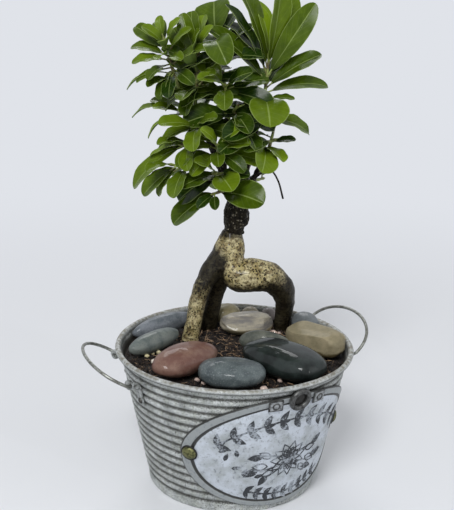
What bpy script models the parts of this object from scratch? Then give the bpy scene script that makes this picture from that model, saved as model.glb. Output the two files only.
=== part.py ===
"""Grafted ficus bonsai in a ribbed zinc bucket, with river stones on its soil.

Units are metres, +Z is up and the origin is the centre of the bucket's underside.
X runs through the bucket's two wire handles. The sizes below are in millimetres.
The planting is laid out in a frame of its own, turned about Z by PLANT_TURN.
"""
from collections import namedtuple
from math import asin, atan, cos, degrees, pi, radians, sin

import bmesh
import bpy
from mathutils import Matrix, Vector, noise
from mathutils.bvhtree import BVHTree

MM = 0.001
GAP = 0.3                # clearance between pieces that touch

# Bucket
BUCKET_HEIGHT = 98.7
RIM_RADIUS = 82.5        # outside of the rolled rim
WALL_TOP_RADIUS = 80.0   # crest of the ribs, carried up to the rim
BASE_RADIUS = 58.2       # crest of the ribs, carried down to the base
BEAD_RADIUS = 1.9        # rolled rim
BASE_ROLL = 0.7          # how far the rolled foot stands out
SHEET = 1.9              # from a rib's crest to the smooth inside
RIB_DEPTH = 0.9
RIB_COUNT = 14
RIB_PITCH = 5.87
LOWEST_GROOVE = 8.0
FLOOR = 1.6
TURN_STEPS = 36

# Label plate, riveted to the front
LABEL_AZIMUTH = 8.5      # degrees from -Y towards +X
LABEL_HALF_ANGLE = 61.0
LABEL_MIDDLE = 46.0
LABEL_RISE = 44.8
LABEL_DROP = 41.0
LABEL_TIP = 1.5          # height left at the plate's pointed ends
LABEL_SHEET = 1.2
LABEL_RIVET_ANGLE = 55.1
RING_HEIGHT = 88.6
RING_RADIUS = 6.0
RING_WIRE = 1.5
CLASP_ANGLE = 13.5
CLASP_SIZE = (9.0, 8.0, 1.2)
WALL_BULGE = 0.2         # keeps the flat back of a small piece off the round wall

# Handles and the ears that hold them
HANDLE_WIRE = 1.1        # wire radius
HANDLE_AZIMUTH = 97.0    # degrees from -Y, to either side: both sit a little to the rear
HINGE_RADIUS = 79.0      # the hinge line passes this far from the bucket's axis
HINGE_Z = 86.0
EAR_REACH = 27.0         # along the hinge line, from its middle to an ear
EAR_EYE = 1.5            # radius of the eye
EAR_KNUCKLE = 2.8
EAR_LENGTH = 5.0
EAR_STRAP = (7.0, 15.0, 1.2)
EAR_TAB = (4.4, 3.2, 4.0)
EAR_TAB_Z = 84.6
EAR_STRAP_Z = 78.0
EAR_RIVET_Z = 73.8
HANDLE_REACH = 29.5
HANDLE_BULGE = 3.5       # how far the loop widens past its ends
HANDLE_INNER_END = 0.6   # of the wire past the knuckle, on the inside
HANDLE_OUTER_END = 1.5   # and on the outside, before it bends
HANDLE_BEND = 1.0        # reach of that bend
LEFT_RAISED = 29.0       # degrees above level, as the handles stand at rest
RIGHT_RAISED = 43.0

# Planting
PLANT_TURN = -23.0
SOIL_LEVEL = 89.0
SOIL_PLAY = 0.8          # between the soil and the wall
SOCKET_PLAY = 1.0        # round the foot of a root
SOCKET_DEPTH = 2.0       # below it

Stone = namedtuple("Stone", "name x y half_sizes yaw pitch colour")
STONES = (
    Stone("stone_slate_long", -52, 36, (25, 7, 7.5), 37, -4, "5A626B"),
    Stone("stone_green_grey", -56, 4, (23, 8, 7.2), 49, -2, "5E6E6A"),
    Stone("stone_red_brown", -33, -33, (26.5, 15.5, 9.8), 48, 0, "6E4A44"),
    Stone("stone_blue_grey", -2, -52, (22, 15.5, 8.7), -7, 0, "55616B"),
    Stone("stone_black_green", 33, -30, (31, 19, 10), -42, 0, "242C2B"),
    Stone("stone_charcoal", 21, 3, (18, 7.5, 8.5), -14, 0, "3E4545"),
    Stone("stone_mauve_striped", 9, 42, (19.5, 12, 7.9), 8, 0, "7E7975"),
    Stone("stone_cream", -6, 63, (11.5, 8.5, 7.5), 30, 0, "A39E8C"),
    Stone("stone_beige_round", 12, 66, (7, 6.5, 6), 0, 0, "948B78"),
    Stone("stone_mauve_small", 26, 67, (6.5, 5.5, 5.5), 0, 0, "77706F"),
    Stone("stone_grey_back", 52, 43, (11.5, 8.5, 8.5), -42, 0, "64696C"),
    Stone("stone_tan", 57, 9, (22.5, 12.5, 9.4), -42, 0, "837B6B"),
)
GRIT = (
    ("grit_pink", 33, 20, 3.4, "C6AFA4"),
    ("grit_yellow", -44, -16, 3.6, "C9BE93"),
    ("grit_white", -54, -20, 2.6, "D8CFC2"),
    ("grit_front", 19, -61, 2.6, "C6AFA4"),
)

# Trunk: centre line and radius along each limb
CAUDEX = ((-3, 41, 167, 5.4), (-4, 40, 160, 8.6), (-6, 39, 151, 11.5), (-8, 39, 141, 11))
LIT_ROOT = ((-10, 38, 150, 8.0), (-19, 34, 137, 7.4), (-26, 30, 119, 6.2), (-33, 24, 84, 5.8))
DARK_ROOT = ((-8, 40, 144, 9), (-13, 44, 128, 7.5), (-17, 47, 110, 7.2), (-21, 51, 84, 6.8))
ARM_ROOT = (
    (-4, 38, 146, 9), (2, 35, 138, 11.5), (13, 35, 138, 12), (24, 37, 135, 11.5),
    (32, 41, 127, 9.6), (36, 45, 117, 8.0), (36, 49, 106, 6.6), (34, 52, 84, 5.0),
)
TRUNK_VOXEL = 2.2
TRUNK_SHARE = 0.18       # of the remeshed faces that is kept

# Scion: the grafted stub and the branches that carry the shoots
STUB = ((-2, 41, 167.8, 6.0), (-1, 41, 174, 8.6), (0, 41, 184, 8.8), (0, 42, 193, 5.5))
BRANCHES = {
    "leader": ((0, 42, 186, 3.4), (6, 42, 214, 2.6), (11, 41, 238, 2.2), (16, 40, 256, 1.8)),
    "left": ((-1, 42, 186, 3.2), (-10, 40, 212, 2.6), (-24, 38, 240, 2.2), (-42, 37, 268, 1.7)),
    "middle": ((0, 42, 190, 3.0), (-6, 44, 225, 2.4), (-10, 46, 262, 2.0), (-14, 44, 280, 1.6)),
    "low": ((-2, 40, 188, 2.6), (-16, 34, 204, 2.2), (-30, 31, 214, 1.7)),
    "back_right": ((2, 44, 188, 2.6), (14, 54, 208, 2.2), (22, 58, 226, 1.7)),
    "back_left": ((-2, 44, 188, 2.6), (-14, 55, 212, 2.2), (-24, 60, 234, 1.7)),
}

# Shoots: where each leaves its branch and its direction, then its leaves from the lowest to the
# tip, each as (bearing, rise, length). Bearings are degrees from the planting frame's +X to +Y.
Shoot = namedtuple("Shoot", "name branch along bearing rise length leaves")
SHOOTS = (
    Shoot("shoot_crown", "leader", 1.0, 20, 85, 50, (
        (12, -4, 22), (-84, -24, 34), (-3, 17, 38), (178, 30, 38), (-5, 33, 38), (50, 54, 38),
        (184, 52, 46), (162, 60, 38), (112, 30, 30), (-12, 57, 50), (190, 56, 40), (100, 58, 36),
        (-78, 68, 32), (58, 66, 34), (172, 76, 34), (20, 78, 36), (-120, 82, 28))),
    Shoot("shoot_collar", "leader", 0.82, -40, 15, 8, (
        (0, 4, 27), (75, 10, 32), (-135, -4, 34), (180, 14, 34), (-70, -30, 24))),
    Shoot("shoot_right_low", "leader", 0.5, -10, 25, 12, (
        (90, -5, 26), (-42, -6, 26), (-82, -18, 30), (0, 4, 16), (60, 10, 18), (-120, 10, 26))),
    Shoot("shoot_rosette", "left", 1.0, 165, 72, 30, (
        (-105, -30, 22), (100, 0, 26), (180, -14, 22), (-12, 46, 25), (165, -28, 17),
        (-60, 5, 20), (192, -12, 20), (-132, -6, 18), (172, 10, 20), (60, 30, 20), (-100, 12, 17),
        (186, 40, 21), (210, 30, 17), (-115, 40, 15), (120, 45, 20), (15, 55, 18), (190, 66, 13),
        (-60, 66, 13))),
    Shoot("shoot_left_top", "left", 0.8, 60, 84, 40, (
        (-15, 18, 30), (110, 20, 30), (-110, 15, 26), (170, 30, 22), (30, 42, 26), (-70, 35, 22),
        (110, 50, 24), (185, 40, 20), (-10, 44, 22), (-120, 48, 20), (60, 62, 22), (178, 62, 20),
        (-15, 66, 20), (-100, 70, 18), (100, 76, 20))),
    Shoot("shoot_middle_top", "middle", 1.0, 150, 80, 18, (
        (-160, 10, 26), (-25, 18, 28), (-35, 68, 28), (180, 30, 26), (158, 72, 31), (20, 48, 30),
        (60, 60, 28))),
    Shoot("shoot_middle_front", "middle", 0.68, -90, 30, 14, (
        (-150, 0, 30), (-35, 2, 32), (172, 12, 30), (-5, 24, 26), (-92, -8, 26), (-60, 34, 24),
        (-130, 30, 22))),
    Shoot("shoot_middle_light", "left", 0.45, -90, 30, 18, (
        (-170, -6, 24), (-12, 2, 24), (-130, -14, 23), (-50, -10, 22), (-90, -2, 22),
        (120, 40, 20), (-150, 20, 20), (-30, 22, 20), (-112, 46, 18), (-35, 50, 18),
        (170, 34, 20))),
    Shoot("shoot_left_reach", "middle", 0.75, 190, 10, 17, (
        (140, 30, 30), (-150, 2, 30), (168, -8, 34), (186, 18, 32), (-120, -20, 26),
        (-170, -30, 24))),
    Shoot("shoot_left_pale", "left", 0.78, 150, 10, 12, (
        (120, 0, 30), (170, -16, 32), (-168, 20, 24), (186, -24, 28), (160, 24, 26))),
    Shoot("shoot_left_fan", "left", 0.55, -165, 0, 16, (
        (130, -5, 28), (-125, -10, 24), (-172, -26, 28), (172, -6, 30), (-150, 22, 22),
        (-95, -18, 22), (180, -40, 24))),
    Shoot("shoot_left_low", "low", 1.0, -175, 10, 12, (
        (120, -4, 28), (-112, -14, 26), (168, -24, 32), (-160, -40, 30), (185, -34, 40),
        (-130, 14, 22))),
    Shoot("shoot_low_front", "low", 0.3, -120, 0, 8, (
        (-162, -24, 38), (-36, -3, 34), (-142, -20, 30), (-12, 18, 22), (-175, -4, 28),
        (-90, -20, 22))),
    Shoot("shoot_left_front", "left", 0.3, -115, 10, 14, (
        (-170, -6, 30), (-58, -10, 26), (-142, 0, 28), (-100, -6, 26), (-120, 36, 22),
        (-20, 10, 24))),
    Shoot("shoot_middle_high", "middle", 0.52, -65, 35, 14, (
        (-12, -4, 28), (-142, 6, 30), (-72, -4, 26), (-110, 26, 24), (20, 20, 24))),
    Shoot("shoot_leader_left", "leader", 0.66, -175, 30, 10, (
        (-120, -6, 30), (150, 6, 30), (-165, 4, 32), (-88, 22, 24), (-60, -14, 26))),
    Shoot("shoot_left_lap", "left", 0.68, -110, 15, 12, (
        (-30, 0, 28), (-175, -6, 30), (-102, -6, 26), (-140, 18, 26), (-60, 30, 20))),
    Shoot("shoot_left_rear", "left", 0.9, 80, 10, 12, (
        (150, 0, 30), (20, 0, 32), (80, 10, 34), (110, 40, 28))),
    Shoot("shoot_rear_low", "back_right", 0.35, 60, -5, 10, (
        (30, -20, 22), (120, -15, 34), (70, -12, 34), (85, 20, 30))),
    Shoot("shoot_back_right", "back_right", 1.0, 75, 40, 14, (
        (40, -8, 24), (115, -5, 34), (70, 5, 32), (90, 35, 34), (-60, 30, 20), (165, 45, 30))),
    Shoot("shoot_back_left", "back_left", 1.0, 120, 45, 14, (
        (180, -5, 30), (60, -5, 34), (120, 0, 36), (90, 35, 34), (200, 35, 28), (20, 50, 28))),
    Shoot("shoot_back_top", "middle", 0.85, 90, 35, 16, (
        (160, 5, 34), (40, 5, 34), (90, 15, 36), (130, 45, 32), (60, 50, 32))),
    Shoot("shoot_back_crown", "leader", 0.86, 100, 30, 14, (
        (50, 5, 28), (150, 10, 34), (85, 15, 36), (115, 35, 34))),
    Shoot("shoot_back_low", "back_left", 0.35, 95, 5, 10, (
        (170, -20, 32), (40, -20, 32), (100, -15, 34), (70, 20, 30))),
)
SHOOT_RADIUS = 1.3
SHOOT_GAP = 0.4          # between a shoot and its branch
LEAST_ASIDE = 0.35       # sine of the least angle between them that is allowed for
FIRST_LEAF = 0.2         # places of the first and the last leaf along a shoot
LAST_LEAF = 0.97

LEAF_WIDTH = 0.5         # of its length
LEAF_SHEET = 0.6
LEAF_BEND = 40.0         # degrees that the blade curves down over its length
LEAF_FOLD = 0.2          # rise of the blade's edge for its half width
PETIOLE = 5.0
PETIOLE_HALF_WIDTH = 0.8
LEAF_STATIONS = ((0.0, 0.08), (0.3, 0.84), (0.68, 0.98), (1.0, 0.2))
CROWN_X = -6.0           # middle of the crown
CROWN_Y = 42.0
LEAF_OUTWARD = 0.5       # how far a blade's face turns out of the crown, against up
LEAF_FORWARD = 0.45      # how far it turns to the light in front
LEAF_CLEARANCE = 0.8     # kept around the middle surface of a leaf
# Turns, lifts and shares of the length that are tried, in this order, to seat a leaf clear
LEAF_TRIES = tuple(
    (turn, lift, share)
    for share in (1.0, 0.85, 0.7)
    for lift in (0, 9, -9, 18, -18)
    for turn in (0, 8, -8, 16, -16, 26, -26, 38, -38)
)


def linear(code):
    """Linear colour from an sRGB hex code."""
    values = [int(code[i:i + 2], 16) / 255 for i in (0, 2, 4)]
    return [v / 12.92 if v <= 0.04045 else ((v + 0.055) / 1.055) ** 2.4 for v in values] + [1.0]


def make_material(name, code, roughness, metallic=0.0):
    material = bpy.data.materials.get(name) or bpy.data.materials.new(name)
    material.use_nodes = True
    shader = material.node_tree.nodes["Principled BSDF"]
    shader.inputs["Base Color"].default_value = linear(code)
    shader.inputs["Roughness"].default_value = roughness
    shader.inputs["Metallic"].default_value = metallic
    return material


def clear_scene():
    for item in list(bpy.data.objects):
        bpy.data.objects.remove(item, do_unlink=True)


def new_collection(name):
    collection = bpy.data.collections.new(name)
    bpy.context.scene.collection.children.link(collection)
    return collection


def add_object(name, data, collection, material=None):
    item = bpy.data.objects.new(name, data)
    collection.objects.link(item)
    if material:
        data.materials.append(material)
    return item


def mesh_from(bm, name, smooth=True):
    """Closes a bmesh into a mesh whose faces point outwards."""
    bmesh.ops.recalc_face_normals(bm, faces=bm.faces)
    mesh = bpy.data.meshes.new(name)
    bm.to_mesh(mesh)
    bm.free()
    if smooth:
        mesh.shade_smooth()
        mesh.set_sharp_from_angle(angle=radians(40))
    return mesh


def make_cutter(item):
    item.hide_render = True
    item.display_type = "WIRE"
    return item


def planted(x, y, z):
    """A point of the planting frame, in millimetres, as a world point in metres."""
    return Matrix.Rotation(radians(PLANT_TURN), 3, "Z") @ Vector((x, y, z)) * MM


def wall_radius(z):
    return BASE_RADIUS + (WALL_TOP_RADIUS - BASE_RADIUS) * z / BUCKET_HEIGHT


def wall_frame(azimuth, z, lift=0.0):
    """Frame on the wall: X along the rim, Y up the wall, Z out of it. Lengths in millimetres."""
    taper = atan((WALL_TOP_RADIUS - BASE_RADIUS) / BUCKET_HEIGHT)
    turn = Matrix.Rotation(radians(azimuth), 4, "Z")
    tilt = Matrix.Rotation(pi / 2 + taper, 4, "X")
    seat = Matrix.Translation((0, -wall_radius(z) * MM, z * MM))
    return turn @ seat @ tilt @ Matrix.Translation((0, 0, lift * MM))


# Bucket ---------------------------------------------------------------------------------------

def bucket_profile():
    """Half section from the floor's middle, up the inside, over the rim and down the ribs."""
    points = [(0, FLOOR), (wall_radius(FLOOR) - SHEET, FLOOR)]
    bead_z = BUCKET_HEIGHT - BEAD_RADIUS
    bead_r = RIM_RADIUS - BEAD_RADIUS
    points.append((wall_radius(bead_z) - SHEET, bead_z - 2 * BEAD_RADIUS))
    for step in range(7):
        angle = radians(190 - 40 * step)
        points.append((bead_r + BEAD_RADIUS * cos(angle), bead_z + BEAD_RADIUS * sin(angle)))
    for rib in reversed(range(RIB_COUNT + 1)):
        z = LOWEST_GROOVE + RIB_PITCH * rib
        points.append((wall_radius(z + RIB_PITCH / 2), z + RIB_PITCH / 2))
        points.append((wall_radius(z) - RIB_DEPTH, z))
    foot = BASE_RADIUS + BASE_ROLL
    points += [(wall_radius(3.6), 3.6), (foot, 2.2), (foot, 0.8), (BASE_RADIUS - 0.4, 0), (0, 0)]
    return points


def make_bucket(collection, zinc):
    bm = bmesh.new()
    verts = [bm.verts.new((r * MM, 0, z * MM)) for r, z in bucket_profile()]
    for start, end in zip(verts, verts[1:]):
        bm.edges.new((start, end))
    mesh = bpy.data.meshes.new("bucket")
    bm.to_mesh(mesh)
    bm.free()
    bucket = add_object("bucket", mesh, collection, zinc)
    screw = bucket.modifiers.new("turned", "SCREW")
    screw.steps = screw.render_steps = TURN_STEPS
    screw.use_merge_vertices = True
    screw.merge_threshold = 0.00001
    return bucket


# Label plate and its fittings -----------------------------------------------------------------

def label_edges(angle):
    """Heights of the plate's lower and upper edge at an angle from its middle."""
    across = 1 - (angle / LABEL_HALF_ANGLE) ** 2
    lower = LABEL_MIDDLE - LABEL_TIP / 2 - LABEL_DROP * across ** 0.43
    upper = LABEL_MIDDLE + LABEL_TIP / 2 + LABEL_RISE * across ** 0.63
    return lower, upper


def make_label_plate(collection, zinc):
    columns, rows = 22, 4
    bm = bmesh.new()
    bmesh.ops.create_grid(bm, x_segments=columns, y_segments=rows, size=1)
    for vert in bm.verts:
        across, up = vert.co.x, (vert.co.y + 1) / 2
        angle = LABEL_HALF_ANGLE * sin(across * pi / 2)
        lower, upper = label_edges(angle)
        z = lower + (upper - lower) * up
        vert.co = wall_frame(LABEL_AZIMUTH + angle, z, GAP) @ Vector((0, 0, 0))
    bmesh.ops.recalc_face_normals(bm, faces=bm.faces)
    if sum(face.normal.y for face in bm.faces) > 0:
        bmesh.ops.reverse_faces(bm, faces=bm.faces)
    mesh = bpy.data.meshes.new("label_plate")
    bm.to_mesh(mesh)
    bm.free()
    mesh.shade_smooth()
    plate = add_object("label_plate", mesh, collection, zinc)
    shell = plate.modifiers.new("sheet", "SOLIDIFY")
    shell.thickness = LABEL_SHEET * MM
    shell.offset = 1.0
    return plate


def make_ring(collection, zinc):
    lift = GAP * 2 + LABEL_SHEET + RING_WIRE
    bpy.ops.mesh.primitive_torus_add(major_radius=RING_RADIUS * MM, minor_radius=RING_WIRE * MM,
                                     major_segments=18, minor_segments=6)
    ring = bpy.context.object
    ring.name = ring.data.name = "label_ring"
    ring.data.transform(wall_frame(LABEL_AZIMUTH, RING_HEIGHT, lift))
    ring.data.shade_smooth()
    ring.data.materials.append(zinc)
    move_to(ring, collection)
    return ring


def move_to(item, collection):
    for owner in list(item.users_collection):
        owner.objects.unlink(item)
    collection.objects.link(item)


def add_box(bm, size, frame):
    scale = Matrix.Diagonal(Vector(size) * MM).to_4x4()
    return bmesh.ops.create_cube(bm, size=1, matrix=frame @ scale)["verts"]


def add_dome(bm, half_sizes, frame):
    """Upper half of an ellipsoid, closed by a flat underside."""
    verts = bmesh.ops.create_uvsphere(bm, u_segments=10, v_segments=6, radius=1)["verts"]
    geom = verts + list({e for v in verts for e in v.link_edges})
    geom += list({f for v in verts for f in v.link_faces})
    cut = bmesh.ops.bisect_plane(bm, geom=geom, plane_co=(0, 0, 0), plane_no=(0, 0, 1),
                                 dist=1e-6, clear_inner=True)
    edges = [e for e in cut["geom_cut"] if isinstance(e, bmesh.types.BMEdge)]
    bmesh.ops.holes_fill(bm, edges=edges, sides=0)
    scale = Matrix.Diagonal(Vector(half_sizes) * MM).to_4x4()
    bmesh.ops.transform(bm, matrix=frame @ scale, verts=bm.verts)


def make_dome(name, half_sizes, frame, collection, material):
    bm = bmesh.new()
    add_dome(bm, half_sizes, frame)
    return add_object(name, mesh_from(bm, name), collection, material)


def make_clasp(name, side, collection, zinc):
    angle = side * CLASP_ANGLE
    z = label_edges(angle)[1] - CLASP_SIZE[1] / 2
    lift = 2 * GAP + LABEL_SHEET + CLASP_SIZE[2] / 2 + WALL_BULGE
    bm = bmesh.new()
    add_box(bm, CLASP_SIZE, wall_frame(LABEL_AZIMUTH + angle, z, lift))
    mesh = mesh_from(bm, name, smooth=False)
    return add_object(name, mesh, collection, zinc)


# Ears and handles -----------------------------------------------------------------------------

def union(name, items, collection, material):
    """One closed body from overlapping ones, which are removed."""
    base, rest = items[0], items[1:]
    group = bpy.data.collections.new(name + "_pieces")
    for item in rest:
        group.objects.link(item)
    join = base.modifiers.new("union", "BOOLEAN")
    join.operation = "UNION"
    join.operand_type = "COLLECTION"
    join.collection = group
    graph = bpy.context.evaluated_depsgraph_get()
    mesh = bpy.data.meshes.new_from_object(base.evaluated_get(graph))
    mesh.name = name
    mesh.materials.clear()
    for item in items:
        bpy.data.objects.remove(item, do_unlink=True)
    bpy.data.collections.remove(group)
    bm = bmesh.new()
    bm.from_mesh(mesh)
    bmesh.ops.remove_doubles(bm, verts=bm.verts, dist=1e-6)
    bmesh.ops.dissolve_degenerate(bm, dist=1e-6, edges=bm.edges)
    bm.to_mesh(mesh)
    bm.free()
    mesh.shade_smooth()
    mesh.set_sharp_from_angle(angle=radians(50))
    return add_object(name, mesh, collection, material)


def hinge_frame(side):
    """Frame on a handle's hinge: X out of the bucket, Y along the hinge line, Z up."""
    turn = Matrix.Rotation(radians(side * HANDLE_AZIMUTH - 90), 4, "Z")
    return turn @ Matrix.Translation(Vector((HINGE_RADIUS, 0, HINGE_Z)) * MM)


def ear_azimuth(side, end):
    return side * HANDLE_AZIMUTH + end * degrees(asin(EAR_REACH / HINGE_RADIUS))


def make_ear(name, side, end, collection, zinc):
    """A strap on the wall, whose knuckle holds one end of a handle's wire."""
    azimuth = ear_azimuth(side, end)
    along = Matrix.Rotation(pi / 2, 4, "X")
    axis = hinge_frame(side) @ Matrix.Translation((0, end * EAR_REACH * MM, 0)) @ along
    knuckle = bmesh.new()
    bmesh.ops.create_cone(knuckle, cap_ends=True, segments=14, radius1=EAR_KNUCKLE * MM,
                          radius2=EAR_KNUCKLE * MM, depth=EAR_LENGTH * MM, matrix=axis)
    strap = bmesh.new()
    add_box(strap, EAR_STRAP, wall_frame(azimuth, EAR_STRAP_Z, GAP + EAR_STRAP[2] / 2))
    tab = bmesh.new()
    add_box(tab, EAR_TAB, wall_frame(azimuth, EAR_TAB_Z, GAP + EAR_TAB[2] / 2 + WALL_BULGE))
    eye = bmesh.new()
    bmesh.ops.create_cone(eye, cap_ends=True, segments=12, radius1=EAR_EYE * MM,
                          radius2=EAR_EYE * MM, depth=2 * EAR_LENGTH * MM, matrix=axis)
    items = []
    for part_name, bm in (("strap", strap), ("tab", tab), ("knuckle", knuckle)):
        items.append(add_object(part_name, mesh_from(bm, part_name, False), collection))
    ear = union(name, items, collection, zinc)
    cutter = make_cutter(add_object(name + "_eye", mesh_from(eye, name + "_eye"), CUTTERS))
    bore = ear.modifiers.new("eye", "BOOLEAN")
    bore.object = cutter
    return ear


def handle_points():
    """Loop of the handle in its own plane: U away from the hinge, V along it."""
    inner = EAR_REACH - EAR_LENGTH / 2 - HANDLE_INNER_END
    outer = EAR_REACH + EAR_LENGTH / 2 + HANDLE_OUTER_END
    half = [(0, inner), (0, outer)]
    steps = 8
    for step in range(1, steps + 1):
        turn = pi / 2 * step / steps
        bulge = HANDLE_BULGE * sin(2 * turn)
        half.append((HANDLE_REACH * sin(turn), (outer + HANDLE_BEND) * cos(turn) + bulge))
    return half + [(u, -v) for u, v in reversed(half[:-1])]


def make_handle(name, side, raised, collection, steel):
    angle = radians(raised)
    curve = bpy.data.curves.new(name, "CURVE")
    curve.dimensions = "3D"
    curve.bevel_depth = HANDLE_WIRE * MM
    curve.bevel_resolution = 2
    curve.use_fill_caps = True
    points = handle_points()
    spline = curve.splines.new("POLY")
    spline.points.add(len(points) - 1)
    for slot, (u, v) in zip(spline.points, points):
        place = Vector((u * cos(angle), v, u * sin(angle))) * MM
        slot.co = (*place, 1)
    handle = add_object(name, curve, collection)
    curve.materials.append(steel)
    handle.matrix_world = hinge_frame(side)
    return handle


# Soil and stones ------------------------------------------------------------------------------

def make_soil(collection, peat):
    """Plug of peat that fills the bucket, with sockets for the roots."""
    rings, spokes = 3, 36
    edge = wall_radius(SOIL_LEVEL) - SHEET - SOIL_PLAY
    bottom = FLOOR + GAP
    profile = [(edge * ring / rings, SOIL_LEVEL) for ring in range(rings + 1)]
    profile += [(wall_radius(bottom) - SHEET - SOIL_PLAY, bottom), (0, bottom)]
    bm = bmesh.new()
    verts = [bm.verts.new((r * MM, 0, z * MM)) for r, z in profile]
    edges = [bm.edges.new(pair) for pair in zip(verts, verts[1:])]
    bmesh.ops.spin(bm, geom=verts + edges, axis=(0, 0, 1), cent=(0, 0, 0), angle=2 * pi,
                   steps=spokes, use_merge=True)
    bmesh.ops.remove_doubles(bm, verts=bm.verts, dist=1e-6)
    soil = add_object("soil", mesh_from(bm, "soil"), collection, peat)
    sockets = soil.modifiers.new("root_sockets", "BOOLEAN")
    sockets.operand_type = "COLLECTION"
    sockets.collection = CUTTERS_SOIL
    return soil


def stone_mesh(stone, sides, rings):
    """A water-worn pebble: an ellipsoid with a slightly wavy outline, lying on the soil."""
    bm = bmesh.new()
    bmesh.ops.create_uvsphere(bm, u_segments=sides, v_segments=rings, radius=1)
    a, b, c = stone.half_sizes
    for vert in bm.verts:
        wave = 1 + 0.05 * noise.noise(vert.co * 1.3 + Vector((stone.x, stone.y, 0)))
        vert.co = Vector((vert.co.x * a * wave, vert.co.y * b * wave, vert.co.z * c))
    turn = Matrix.Rotation(radians(PLANT_TURN + stone.yaw), 4, "Z")
    tilt = Matrix.Rotation(radians(stone.pitch), 4, "Y")
    bmesh.ops.transform(bm, verts=bm.verts, matrix=turn @ tilt @ Matrix.Scale(MM, 4))
    lowest = min(vert.co.z for vert in bm.verts)
    place = planted(stone.x, stone.y, SOIL_LEVEL + GAP)
    place.z -= lowest
    bmesh.ops.translate(bm, verts=bm.verts, vec=place)
    return mesh_from(bm, stone.name)


def make_stone(stone, collection, sides=12, rings=8):
    material = make_material("polished_" + stone.name, stone.colour, 0.18)
    return add_object(stone.name, stone_mesh(stone, sides, rings), collection, material)


# Trunk, scion and leaves ----------------------------------------------------------------------

def tube_mesh(name, points, sides_step=2, parts=3):
    """Closed tube along a smooth curve through points of the planting frame."""
    curve = bpy.data.curves.new(name, "CURVE")
    curve.dimensions = "3D"
    curve.bevel_depth = MM
    curve.bevel_resolution = sides_step
    curve.use_fill_caps = True
    smooth = smooth_line(points, parts)
    spline = curve.splines.new("POLY")
    spline.points.add(len(smooth) - 1)
    for slot, (place, radius) in zip(spline.points, smooth):
        slot.co = (*planted(*place), 1)
        slot.radius = radius
    holder = bpy.data.objects.new(name, curve)
    bpy.context.scene.collection.objects.link(holder)
    graph = bpy.context.evaluated_depsgraph_get()
    mesh = bpy.data.meshes.new_from_object(holder.evaluated_get(graph))
    bpy.data.objects.remove(holder, do_unlink=True)
    bm = bmesh.new()
    bm.from_mesh(mesh)
    bmesh.ops.remove_doubles(bm, verts=bm.verts, dist=1e-6)
    bmesh.ops.recalc_face_normals(bm, faces=bm.faces)
    bm.to_mesh(mesh)
    bm.free()
    return mesh


def smooth_line(points, parts=3):
    """Catmull-Rom line through (x, y, z, radius) points, as (place, radius) pairs."""
    rows = [Vector(p) for p in points]
    rows = [2 * rows[0] - rows[1]] + rows + [2 * rows[-1] - rows[-2]]
    line = []
    for i in range(1, len(rows) - 2):
        a, b, c, d = rows[i - 1:i + 3]
        for part in range(parts):
            t = part / parts
            line.append(0.5 * (2 * b + (c - a) * t + (2 * a - 5 * b + 4 * c - d) * t * t
                               + (3 * b - a - 3 * c + d) * t ** 3))
    line.append(rows[-2])
    return [(row.xyz, row.w) for row in line]


def make_trunk(collection, bark):
    """Swollen rootstock on its bare roots, grown together as one piece."""
    limbs = {"caudex": CAUDEX, "lit_root": LIT_ROOT, "dark_root": DARK_ROOT, "arm_root": ARM_ROOT}
    items = []
    for name, points in limbs.items():
        items.append(add_object(name, tube_mesh(name, points, 3), collection))
    trunk = union("trunk", items, collection, bark)
    remesh = trunk.modifiers.new("grown_together", "REMESH")
    remesh.mode = "VOXEL"
    remesh.voxel_size = TRUNK_VOXEL * MM
    remesh.use_smooth_shade = True
    soften = trunk.modifiers.new("soften", "SMOOTH")
    soften.factor = 0.5
    soften.iterations = 4
    fewer = trunk.modifiers.new("fewer_faces", "DECIMATE")
    fewer.ratio = TRUNK_SHARE
    for name in ("lit_root", "dark_root", "arm_root"):
        make_cutter(add_object(name + "_socket", socket_mesh(limbs[name]), CUTTERS_SOIL))
    return trunk


def socket_mesh(points):
    """Room for the foot of a root in the soil."""
    above, foot = Vector(points[-2]), Vector(points[-1])
    deep = foot + (foot - above).normalized() * SOCKET_DEPTH
    deep.w = above.w = foot.w + SOCKET_PLAY
    return tube_mesh("socket", (foot.lerp(above, 0.6), deep), 2)


def make_scion(collection, bark):
    items = [add_object("stub", tube_mesh("stub", STUB, 3), collection)]
    for name, points in BRANCHES.items():
        items.append(add_object(name, tube_mesh(name, points, 1, 2), collection))
    return union("scion", items, collection, bark)


def direction(bearing, rise):
    b, r = radians(bearing), radians(rise)
    return Vector((cos(r) * cos(b), cos(r) * sin(b), sin(r)))


def branch_point(branch, along):
    """Centre, radius and direction on a branch, at a share of its length."""
    line = smooth_line(BRANCHES[branch], 8)
    last = len(line) - 1
    index = min(last - 1, int(along * last))
    share = along * last - index
    (start, r0), (end, r1) = line[index], line[index + 1]
    return start.lerp(end, share), r0 + (r1 - r0) * share, (end - start).normalized()


def shoot_line(shoot):
    """Start and tip of a shoot, seated on its branch."""
    centre, radius, along = branch_point(shoot.branch, shoot.along)
    way = direction(shoot.bearing, shoot.rise)
    lean = abs(way.dot(along))
    aside = (1 - lean * lean) ** 0.5
    if shoot.along == 1.0:
        start = centre + along * (SHOOT_GAP + SHOOT_RADIUS * aside)
    else:
        reach = (radius + SHOOT_GAP + SHOOT_RADIUS * lean) / max(LEAST_ASIDE, aside)
        start = centre + way * reach
    return start, start + way * shoot.length


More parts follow.
